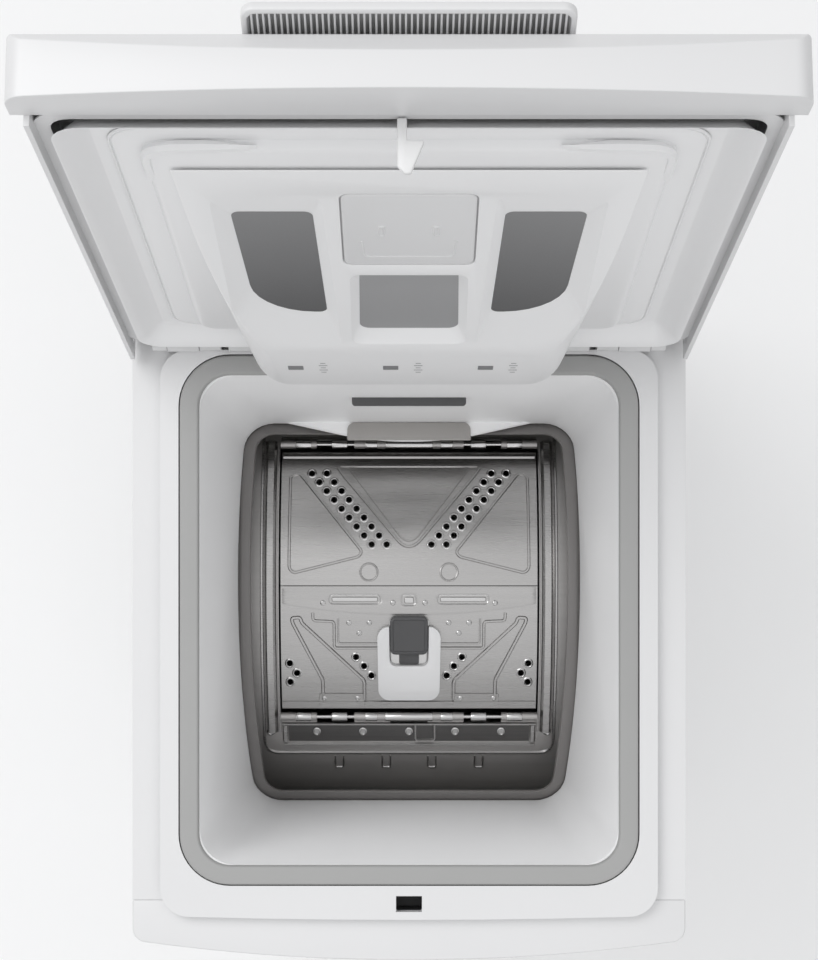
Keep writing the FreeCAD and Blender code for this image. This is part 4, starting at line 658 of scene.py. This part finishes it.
# %% Corner scoops
def scoop(sign):
    path = [(sign * 139.5, 300), (sign * 139.5, 346.5), (sign * 112, 349.5), (sign * 80, 347.0)]
    lip = ridge("lid_scoop", path, 7.0, 3.2, bend=22)
    for point in lip.data.vertices:
        fade = min(1.0, max(0.0, (abs(point.co.x) - 80) / 26), max(0.0, (point.co.y - 300) / 30))
        point.co.z = 3.0 + point.co.z * fade ** 0.6
    return lip


hand_over(joined("lid_scoops", [scoop(-1), scoop(1)]), "lid", "liner_plastic", where=on_lid)

# %% [markdown]
# ## The lid's front cap and its ribbed handle
# The cap is a bar across the whole front edge. It is bowed, bevelled and rounded. The handle
# is a tilted plate whose underside is a pocket full of thin ribs, which the fingers feel.

# %% Cap
CAP_SIDE, CAP_BACK, CAP_NOSE, CAP_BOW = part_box("lid_cap")[1].x / MM, 397.2, 419.3, 11.7
cap = raised_block("lid_front_cap", (-CAP_SIDE, CAP_BACK, -28), (CAP_SIDE, CAP_NOSE, 6.5), 10, 8)
bpy.ops.object.mode_set(mode="EDIT")
pick(cap, "verts", lambda v: v.co.y < CAP_BACK + 10.5)
for vert in bmesh.from_edit_mesh(cap.data).verts:
    if vert.select:
        vert.co.y = CAP_BACK
        vert.co.x = math.copysign(CAP_SIDE, vert.co.x)
bpy.ops.mesh.remove_doubles(threshold=0.01)
for step in range(-18, 19):
    bpy.ops.mesh.select_all(action="SELECT")
    bpy.ops.mesh.bisect(plane_co=(step * 10.0, 0, 0), plane_no=(1, 0, 0))
pick(cap, "verts", lambda v: v.co.y > CAP_BACK + 5)
for vert in bmesh.from_edit_mesh(cap.data).verts:
    if vert.select:
        vert.co.y += CAP_BOW * (1 - (vert.co.x / CAP_SIDE) ** 2)
bpy.ops.mesh.select_all(action="SELECT")
bpy.ops.mesh.bisect(plane_co=(0, 432, -12), plane_no=(0, 16, -22), use_fill=True, clear_outer=True)
bpy.ops.object.mode_set(mode="OBJECT")
soften(cap, 2.6, 3, 28)
hand_over(cap, "lid", "white_plastic", "lid_cap", where=on_lid, angle=40)

# %% Handle
TILT = math.radians(15.6)
on_lip = on_lid @ Matrix.Scale(MM, 4) @ Matrix.Translation((0, 397, -32)) @ Matrix.Rotation(-TILT, 4, "X")
on_lip = on_lip @ Matrix.Scale(1 / MM, 4)
LIP_SIDE, LIP_REACH, RIBS, RIB_PITCH = 83, 30.5, 54, 2.93
lip_corners = [(-LIP_SIDE, -4), (LIP_SIDE, -4), (LIP_SIDE, LIP_REACH), (-LIP_SIDE, LIP_REACH)]
lip = lifted(sheet_of("handle_lip", lip_corners, [1, 1, 7, 7], 0), 5)
pocket_corners = [(-80, -6), (80, -6), (80, 26.5), (-80, 26.5)]
pocket = lifted(sheet_of("lip_pocket", pocket_corners, [1, 1, 5, 5], 1.4), 9)
carve(lip, pocket)
soften(lip, 0.9, 3, 40)
hand_over(lip, "lid", "white_plastic", where=on_lip)

ribs = []
for n in range(RIBS):
    at = (n - (RIBS - 1) / 2) * RIB_PITCH
    bpy.ops.object.select_all(action="DESELECT")
    bpy.ops.mesh.primitive_cube_add(size=1, location=(at, 11.6, 2.9), scale=(1.05, 30, 3.2))
    bpy.ops.object.transform_apply(location=True, rotation=True, scale=True)
    ribs.append(soften(bpy.context.object, 0.3, 1))
hand_over(joined("handle_ribs", ribs), "lid", "white_plastic", where=on_lip)
# The pocket's floor between the ribs is a grey sheet in the die-cast finish: its grey is painted shade.
pocket_shade_floor = rounded_sheet("handle_pocket_floor", (-79.9, -5), (79.9, 26.4), 1.45, 4.8)
step_in((0.5, 0.05))
hand_over(pocket_shade_floor, "lid", "dark_plastic", where=on_lip, look=finishes["cast_parts"])

# %% [markdown]
# ## The soap drawer
# The drawer is a wedge: tall at the hinge and thin towards the handle. Its cross section, a box
# with two round corners, is pushed along the lid, widened, and cut by the sloping face. Then
# funnels are cut into that face for the powder bowls, the softener bay and the flap.

# %% Drawer body
DRAW_BACK, DRAW_FLAT, DRAW_END, DRAW_TALL, DRAW_ROOF = 30, 92, 325, 41, 6.2
slope_angle = math.atan2(DRAW_TALL - 7.2, DRAW_END - DRAW_FLAT)
NARROW, WIDE = 105, 128
sketch = [(-NARROW, -DRAW_ROOF), (NARROW, -DRAW_ROOF), (NARROW, -DRAW_TALL), (-NARROW, -DRAW_TALL)]
drawer = sheet_of("soap_drawer", sketch, [0.5, 0.5, 27, 27], DRAW_BACK, 10)
bpy.ops.mesh.extrude_region_move(TRANSFORM_OT_translate={"value": (0, 0, DRAW_END - DRAW_BACK)})
bpy.ops.transform.resize(value=(WIDE / NARROW, 1, 1), center_override=(0, 0, 0))
close_shell()
drawer.data.transform(Matrix.Rotation(-math.pi / 2, 4, "X"))
bpy.ops.object.mode_set(mode="EDIT")
bpy.ops.mesh.select_all(action="SELECT")
normal = (0, math.sin(slope_angle), math.cos(slope_angle))
bpy.ops.mesh.bisect(plane_co=(0, DRAW_FLAT, DRAW_TALL), plane_no=normal, use_fill=True, clear_outer=True)
bpy.ops.object.mode_set(mode="OBJECT")
soften(drawer, 4.5, 4, 24)
on_slope = Matrix.Translation((0, DRAW_FLAT, DRAW_TALL)) @ Matrix.Rotation(-slope_angle, 4, "X")

# %% Bowls, bay and flap seat
WINDOW_DEPTH = -6.5
bowl = [(-100.5, 180), (-54.3, 180), (-50.5, 54), (-94, 54)]
bowl_rim = [(-111, 212), (-48.4, 212), (-41.5, 15), (-108, 15)]
bay = [(-29.5, 108), (29.5, 108), (31, 31), (-31, 31)]
bay_rim = [(-35.5, 116), (35.5, 116), (36.5, 20), (-36.5, 20)]


def flipped(corners):
    return [(-x, y) for x, y in corners]


tools = []
for corners, rim in ((bowl, bowl_rim), (flipped(bowl), flipped(bowl_rim))):
    tools.append(funnel("bowl_funnel", corners, [5, 5, 5, 36], WINDOW_DEPTH, rim, [12, 9, 8, 44], 0.6))
tools.append(funnel("bay_funnel", bay, [5, 5, 7, 7], WINDOW_DEPTH, bay_rim, [6, 6, 8, 8], 0.6))
tools.append(raised_block("flap_seat", (-38.6, 128, -3.4), (38.6, 211.4, 2), 6, 6))
for tool in tools:
    tool.data.transform(on_slope)
    carve(drawer, tool)
soften(drawer, 1.1, 2, 18)
hand_over(drawer, "dispenser", "liner_plastic", "dispenser", where=on_lid, angle=40)

# %% Painted shade in the bowls: dark sheets, darker lower down
drawer_low, drawer_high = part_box("dispenser")


def painted_shade_by_height(finish, low_share=0.25, high_share=0.85):
    """Painted shade for the depth: the colour follows the height in the drawer, dark below and light above."""
    nodes, links = finish.node_tree.nodes, finish.node_tree.links
    height_of = nodes.new("ShaderNodeSeparateXYZ")
    links.new(nodes["Texture Coordinate"].outputs["Object"], height_of.inputs["Vector"])
    fall = nodes.new("ShaderNodeMapRange")
    tall = drawer_high.z - drawer_low.z
    fall.inputs["From Min"].default_value = drawer_low.z + high_share * tall
    fall.inputs["From Max"].default_value = drawer_low.z + low_share * tall
    links.new(height_of.outputs["Z"], fall.inputs["Value"])
    links.new(fall.outputs["Result"], nodes["Mix"].inputs["Factor"])
    return finish


# The dark sheets on the floors of the bowls and the bay are painted shade, darker lower in the drawer.
bowl_painted_shade = painted_shade_by_height(surface("bowl_shade", (0.25, 0.25, 0.253), (0.055, 0.055, 0.057), (0.35, 0.5)))
bay_painted_shade = painted_shade_by_height(surface("bay_shade", (0.35, 0.35, 0.355), (0.27, 0.27, 0.275), (0.35, 0.5)), 0.1, 0.5)
for name, corners, radii, look in (("left_bowl_lining", bowl, [5, 5, 5, 36], bowl_painted_shade),
                                   ("right_bowl_lining", flipped(bowl), [5, 5, 5, 36], bowl_painted_shade),
                                   ("bay_lining", bay, [5, 5, 7, 7], bay_painted_shade)):
    pan = sheet_of(name, corners, radii, WINDOW_DEPTH + 0.08, 7)
    step_in((0.6, -0.05), (1.2, 0.04))
    bpy.ops.object.mode_set(mode="OBJECT")
    pan.data.transform(on_slope)
    hand_over(pan, "dispenser", "liner_plastic", where=on_lid, look=look)

# %% Flap
flap = rounded_sheet("drawer_flap", (-37.6, 129.0), (37.6, 210.4), -2.6, 5.4, 7)
step_in((0.01, 2.2), (0.5, 0.5), (0.6, 0.1))
bpy.ops.object.mode_set(mode="OBJECT")
nubs = [flap]
for x in (-15.5, 15.5):
    nub = rounded_sheet("flap_nub", (x - 2.2, 164), (x + 2.2, 176), 0.1, 1.6, 4)
    step_in((0.9, 0.9), (0.5, -0.6))
    bpy.ops.object.mode_set(mode="OBJECT")
    nubs.append(nub)
nubs.append(ridge("flap_lip", [(-27, 158), (-26, 139), (26, 139), (27, 158)], 1.4, 0.5, bend=4))
nubs[-1].data.transform(Matrix.Translation((0, 0, 0.2)))
flap = joined("drawer_flap", nubs)
flap.data.transform(on_slope)
hand_over(flap, "dispenser_flap", "white_plastic", "dispenser_flap", where=on_lid)

# %% [markdown]
# On the drawer's upright face the real machine has small printed symbols. Plain grey ticks and
# bars stand in for them: a level scale for each compartment and nothing that reads as a word.

# %% Level marks
mark_finish = surface("printed_grey", (0.22, 0.22, 0.225), (0.28, 0.28, 0.285), (0.5, 0.6))
marks = []
for centre in (-62, 0, 62):
    bars = [(centre - 12, 10, 9)] + [(centre + 6, 3.5 + 2.2 * (n % 2), 1.1) for n in range(5)]
    for n, (x, wide, tall) in enumerate(bars):
        y = 70 if n == 0 else 60 + 5 * (n - 1)
        mark = rounded_sheet("level_mark", (x - wide / 2, y - tall / 2), (x + wide / 2, y + tall / 2),
                             DRAW_TALL + 0.05, 0.4, 2)
        step_in((0.1, 0.05))
        bpy.ops.object.mode_set(mode="OBJECT")
        marks.append(mark)
hand_over(joined("level_marks", marks), "dispenser", "dark_plastic", where=on_lid, look=mark_finish)

# %% [markdown]
# ## Door hinges, the screwed strip and the frame round the doors
# Both doors turn on a long pin through rolled knuckles. In front of the front hinge lies a
# hollow with a row of screws, then two bright folded edges and four small tabs. The hollow is a
# thin sheet of dark steel whose dark colour is painted shade. The folds are ridges like those on
# the doors, so the same helper draws them.

# %% Hinge knuckles
def knuckles(name, across, spans, radius):
    """Rolled knuckles round a hinge line, each a short tube with softened ends."""
    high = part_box("drum_hinge_pins")[1].z / MM - drum_line.z / MM - 1.5
    return joined(name, [soften(rod("knuckle", low, far, across, high, radius, 24), 0.4) for low, far in spans])


HINGE_ACROSS = 106
KNUCKLE_SPANS = [(-88, -76), (-60, -48), (-34, -24.6), (-18.5, 18.5), (24.6, 34), (48, 60), (76, 88)]
for name, across in (("rear_knuckles", HINGE_ACROSS), ("front_knuckles", -HINGE_ACROSS)):
    hand_over(knuckles(name, across, KNUCKLE_SPANS, 3.6), "drum", "bright_steel", where=on_drum)

# %% Frame round the doors
FRAME_SIDE = 113
corner_path = [(-FRAME_SIDE, 112), (-FRAME_SIDE, -135), (FRAME_SIDE, -135), (FRAME_SIDE, 112)]
loop_path = [(5, -112), (5, -124.5), (20, -124.5), (20, -112)]
frame_ridges = []
for sign in (-1, 1):
    frame_ridges.append(ridge("side_rail", [(sign * 106.8, 108), (sign * 106.8, -118)], 9.5, 2.4))
    frame_ridges.append(ridge("side_lip", [(sign * 100.4, 103), (sign * 100.4, -118)], 1.5, 1.3))
    frame_ridges.append(ridge("side_tab", [(sign * 96.5, -112.5), (sign * 96.5, -126)], 5.0, 1.6))
frame_ridges.append(ridge("outer_lip", corner_path, 2.6, 1.6, bend=11))
for name, side, across, wide, tall in (("front_fold", 98, -128.2, 2.8, 1.8), ("front_leaf", 99, -111.6, 2.2, 1.6),
                                       ("rear_fold", 99, 110.4, 2.6, 1.6)):
    frame_ridges.append(ridge(name, [(-side, across), (side, across)], wide, tall))
frame_ridges.append(ridge("latch_loop", loop_path, 2.0, 2.0, bend=2.5))
for x in (-55, -18, 18, 55):
    tab_path = [(x - 3.2, -137.5), (x - 3.2, -147), (x + 3.2, -147), (x + 3.2, -137.5)]
    frame_ridges.append(ridge("rim_tab", tab_path, 1.4, 1.0, bend=1.5))
hand_over(rolled(joined("drum_door_frame", frame_ridges)), "drum", "drum_steel", where=on_drum)

# %% Screwed strip
# The hollow's dark steel is painted shade: a thin darker sheet stands for the shade in the hollow.
hollow_painted_shade = surface("shaded_steel", (0.16, 0.157, 0.155), (0.12, 0.117, 0.115), (0.25, 0.36), cloud=3,
                        stretch=BRUSHED, grain=14, depth=0.000003, Metallic=1.0)
hand_over(door_sheet("screw_hollow", 95.6, -125.6, -113.0, 0.35), "drum", "drum_steel", where=on_drum,
          look=hollow_painted_shade)
strip_spots = [((n - 3) * 36.0, -117.6, 0.0) for n in range(7)]
strip_screws = rolled(spread("strip_screw_heads", rivet_head(3.3), strip_spots), 0.4)
hand_over(strip_screws, "drum", "bright_steel", "drum_screws", where=on_drum)

rear_edge = rolled(ridge("rear_door_fold", [(-97.5, 96.6), (97.5, 96.6)], 4.2, 1.4))
hand_over(rear_edge, "rear_drum_door", "drum_steel", where=on_drum)

# %% [markdown]
# ## The lid's hinge tubes
# The lid turns on rolled tubes near its corners. They lie on the hinge line, every second one
# belongs to the lid, and each is a short cylinder with soft ends.

# %% Hinge tubes
TUBE_RADIUS = 3.8
TUBE_SPANS = [("cabinet", -178.0, -166.5), ("lid", -165.5, -146.0), ("cabinet", -145.0, -131.0)]
for number, (body, low, far) in enumerate(TUBE_SPANS):
    for side, sign in (("left", 1), ("right", -1)):
        ends = sorted((sign * low, sign * far))
        tube = rod(f"lid_hinge_tube_{side}_{number + 1}", *ends, lid_line.y / MM, lid_line.z / MM, TUBE_RADIUS, 28)
        hand_over(soften(tube, 0.6), body, "white_plastic")

# %% [markdown]
# ## The throat, its rim and the lid's seal
# The throat is a funnel with a round-cornered plan, narrower at the drum. Its lower edge is cut
# by the curve of the tub, which gives the opening its bulging sides. A dark rim follows that
# same edge, and the soft grey seal lies round the top.

# %% Throat well
SEAT = seal_low.z / MM
BAND, THROAT_DROP, THROAT_WALL = 14.0, 228.0, 3.0
THROAT_HALF, THROAT_FRONT = seal_high.x / MM - BAND, seal_low.y / MM + BAND
THROAT_REAR = seal_high.y / MM - BAND
SIDE_TAPER, FRONT_TAPER, REAR_TAPER = 32.5, 37.5, 27.4
TUB_CLEAR = 255.0


def throat_outline(level_share, grow):
    """Corners of the throat at a share of its depth, grown outwards all round."""
    x = THROAT_HALF - SIDE_TAPER * level_share + grow
    near, far = THROAT_FRONT + FRONT_TAPER * level_share - grow, THROAT_REAR - REAR_TAPER * level_share + grow
    return [(-x, near), (x, near), (x, far), (-x, far)]


def throat_plug(name, grow, over=0.0):
    return funnel(name, throat_outline(1, grow), [20 + grow] * 4, SEAT - THROAT_DROP - over,
                  throat_outline(0, grow), [24 + grow] * 4, SEAT + over)


def long_bar(name, radius):
    """A bar along the drum's axis, longer than the cabinet is wide."""
    return rod(name, -300, 300, drum_line.y / MM, drum_line.z / MM, radius, 180)


# %% Throat walls and the seal's seat
throat = throat_plug("throat", THROAT_WALL)
carve(throat, throat_plug("throat_room", 0.0, 0.5))
seat = raised_block("throat_seat", (seal_low.x / MM, seal_low.y / MM, SEAT - 4),
                    (seal_high.x / MM, seal_high.y / MM, SEAT - 0.05), 35, 10)
carve(seat, throat_plug("seat_room", 1.0, 1.5))
carve(throat, seat, "UNION")
carve(throat, long_bar("tub_curve", TUB_CLEAR))
soften(throat, 1.2, 3, 35)
# The throat's white is a brighter copy of the lining's white: painted light for the light falling into the throat.
throat_lit_white = surface("throat_white", (0.96, 0.96, 0.962), (0.94, 0.94, 0.943), (0.33, 0.48), grain=1300)
hand_over(throat, "cabinet", "liner_plastic", "throat_well", look=throat_lit_white, angle=38)

# %% Water nozzle
NOZZLE_DROP = 66.0
nozzle_wall = THROAT_REAR - REAR_TAPER * NOZZLE_DROP / THROAT_DROP
nozzle = raised_block("water_nozzle", (-41.5, nozzle_wall - 5.6, SEAT - NOZZLE_DROP - 2.5),
                      (41.5, nozzle_wall + 2.5, SEAT - NOZZLE_DROP + 2.5), 2.4, 5)
soften(nozzle, 0.7, 2, 40)
hand_over(nozzle, "cabinet", "dark_plastic")

# %% Hump and tab at the rear of the throat
HUMP_REACH = 256.5


def over_drum(name, corners, radii, reach, thick):
    """A thin plate that follows the drum's curve at a distance, drawn by its real x and y."""
    flat = [(x, (y - drum_line.y / MM) * ROUND / reach) for x, y in corners]
    plate = lifted(sheet_of(name, flat, radii, reach - ROUND), thick)
    return rolled(soften(plate, 0.7, 2, 40))


hump = over_drum("throat_hump", [(-104, 92), (104, 92), (29, 74.8), (-29, 74.8)], [1, 1, 24, 24], HUMP_REACH, 2.5)
# The hump takes the throat's brighter white, which is painted light.
hand_over(hump, "cabinet", "liner_plastic", where=on_drum, look=throat_lit_white)
tab = over_drum("rear_tab", [(-47, 89.5), (47, 89.5), (47, 75.3), (-47, 75.3)], [5, 5, 1, 1], HUMP_REACH + 2.6, 1.2)
tab_finish = surface("tab_warm_grey", (0.42, 0.405, 0.39), (0.37, 0.355, 0.34), (0.35, 0.5), cloud=12)
hand_over(tab, "cabinet", "liner_plastic", where=on_drum, look=tab_finish)

# %% Rim at the foot of the throat
rim = throat_plug("throat_rim", -0.05)
carve(rim, throat_plug("rim_room", -8.5, 1.0))
ring_outside = long_bar("rim_curve", TUB_CLEAR - 1.2)
carve(ring_outside, long_bar("rim_inner_curve", TUB_CLEAR - 5.0))
carve(rim, ring_outside, "INTERSECT")
soften(rim, 1.0, 2, 40)
rim_finish = surface("rim_grey", (0.215, 0.205, 0.20), (0.17, 0.162, 0.158), (0.3, 0.45), cloud=12)
hand_over(rim, "cabinet", "gasket_rubber", look=rim_finish)

# %% Seal
seal = rounded_sheet("lid_seal_band", seal_low.xy / MM, seal_high.xy / MM, SEAT, 35.5, 14)
step_in((0.4, 3.3), (0.8, 0.6), (0.8, 0.1), (9.6, 0.0), (0.8, -0.1), (0.8, -0.6), (0.6, -3.2))
bpy.ops.mesh.delete(type="FACE")
bpy.ops.object.mode_set(mode="OBJECT")
hand_over(seal, "cabinet", "seal_rubber", "lid_seal", angle=50)

# %% [markdown]
# ## Panels with soft edges
# The cabinet's panels have the right shape already, but moulded and folded edges are never
# sharp. A copy of each is merged, its flat faces are dissolved into one, and its sharp edges get
# a small round. The top cover keeps its own mesh, because its face with a hole dissolves badly.

# %% Softened copies
def eased_copy(node, name, radius):
    """A merged copy of a design part with rounded edges, on the bench in millimetres."""
    copy = bpy.data.objects.new(name, frame["nodes"][node].data.copy())
    bpy.context.scene.collection.objects.link(copy)
    copy.data.transform(Matrix.Scale(1 / MM, 4))
    alone(copy)
    bpy.ops.object.mode_set(mode="EDIT")
    bpy.ops.mesh.select_all(action="SELECT")
    bpy.ops.mesh.remove_doubles(threshold=0.002)
    bpy.ops.mesh.dissolve_limited(angle_limit=math.radians(0.6))
    bpy.ops.object.mode_set(mode="OBJECT")
    return soften(copy, radius, 3, 28)


# %% Hand over each softened panel
for node, body, slot_name, radius in (
        ("front_trim", "cabinet", "white_plastic", 1.3),
        ("front_panel", "cabinet", "white_steel", 0.4), ("side_panel_left", "cabinet", "white_steel", 0.45),
        ("side_panel_right", "cabinet", "white_steel", 0.45), ("rear_panel", "cabinet", "white_steel", 0.3),
        ("lid_shell", "lid", "white_plastic", 1.2), ("latch_hook", "lid", "hook_plastic", 0.9),
        ("console_housing", "cabinet", "white_plastic", 1.2), ("console_fascia", "cabinet", "white_plastic", 0.6),
        ("filter_flap", "filter_flap", "white_steel", 0.6), ("programme_knob", "programme_knob", "knob_plastic", 1.2),
        ("start_button", "start_button", "dark_plastic", 0.6), ("inlet_valve", "cabinet", "tub_plastic", 0.5),
        ("cord_gland", "cabinet", "dark_plastic", 0.6)):
    hand_over(eased_copy(node, f"{node}_eased", radius), body, slot_name, node, angle=40)

# %% [markdown]
# ## Floor, light and camera
# A pale floor, a white room and two broad soft lamps leave the whites clean and give the steel
# something to mirror. The room is brightest overhead, so upright faces are a little darker.
# The camera looks straight down from about a metre above the open lid.

# %% Floor
bpy.ops.mesh.primitive_plane_add(size=30, location=(0, 0, -0.0005))
floor = named(bpy.context.object, "studio_floor")
floor.data.materials.append(surface("pale_floor", (0.97, 0.97, 0.97), (0.95, 0.95, 0.95), (0.6, 0.7), cloud=2))

# %% Light
room = bpy.data.worlds.new("white_room")
room.use_nodes = True
room_nodes, room_links = room.node_tree.nodes, room.node_tree.links
height = room_nodes.new("ShaderNodeSeparateXYZ")
room_links.new(room_nodes.new("ShaderNodeTexCoord").outputs["Generated"], height.inputs["Vector"])
brightness = room_nodes.new("ShaderNodeMapRange")
brightness.inputs["To Min"].default_value, brightness.inputs["To Max"].default_value = 0.20, 1.06
room_links.new(height.outputs["Z"], brightness.inputs["Value"])
room_nodes["Background"].inputs["Color"].default_value = (0.985, 0.99, 1.0, 1)
room_links.new(brightness.outputs["Result"], room_nodes["Background"].inputs["Strength"])
bpy.context.scene.world = room
bpy.context.scene.view_settings.view_transform = "Standard"


def soft_lamp(name, place, aim, size, power):
    lamp = bpy.data.objects.new(name, bpy.data.lights.new(name, "AREA"))
    lamp.data.shape = "RECTANGLE"
    lamp.data.size, lamp.data.size_y, lamp.data.energy = *size, power
    lamp.location = place
    lamp.rotation_euler = (Vector(aim) - Vector(place)).to_track_quat("-Z", "Y").to_euler()
    bpy.context.scene.collection.objects.link(lamp)


soft_lamp("top_softbox", (-1.3, 0.9, 2.9), (0, -0.1, 0.75), (1.6, 1.6), 21)
soft_lamp("front_softbox", (0.3, -2.3, 2.3), (0, 0.1, 0.9), (2.6, 0.9), 9)

# %% Camera
CAMERA_RISE, CAMERA_FORWARD = 1.0019, 0.0764
camera = bpy.data.objects.new("camera", bpy.data.cameras.new("camera"))
camera.data.lens, camera.data.sensor_width = 77.6, 36
camera.data.shift_y = 0.1667
camera.location = (0, -CAMERA_FORWARD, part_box("lid_cap")[1].z + CAMERA_RISE)
bpy.context.scene.collection.objects.link(camera)
bpy.context.scene.camera = camera
print("camera height", round(camera.location.z, 4))

# %% [markdown]
# ## The last update
# The view layer is updated once more, so every piece stands in its place.

# %% Update the scene
bpy.context.view_layer.update()
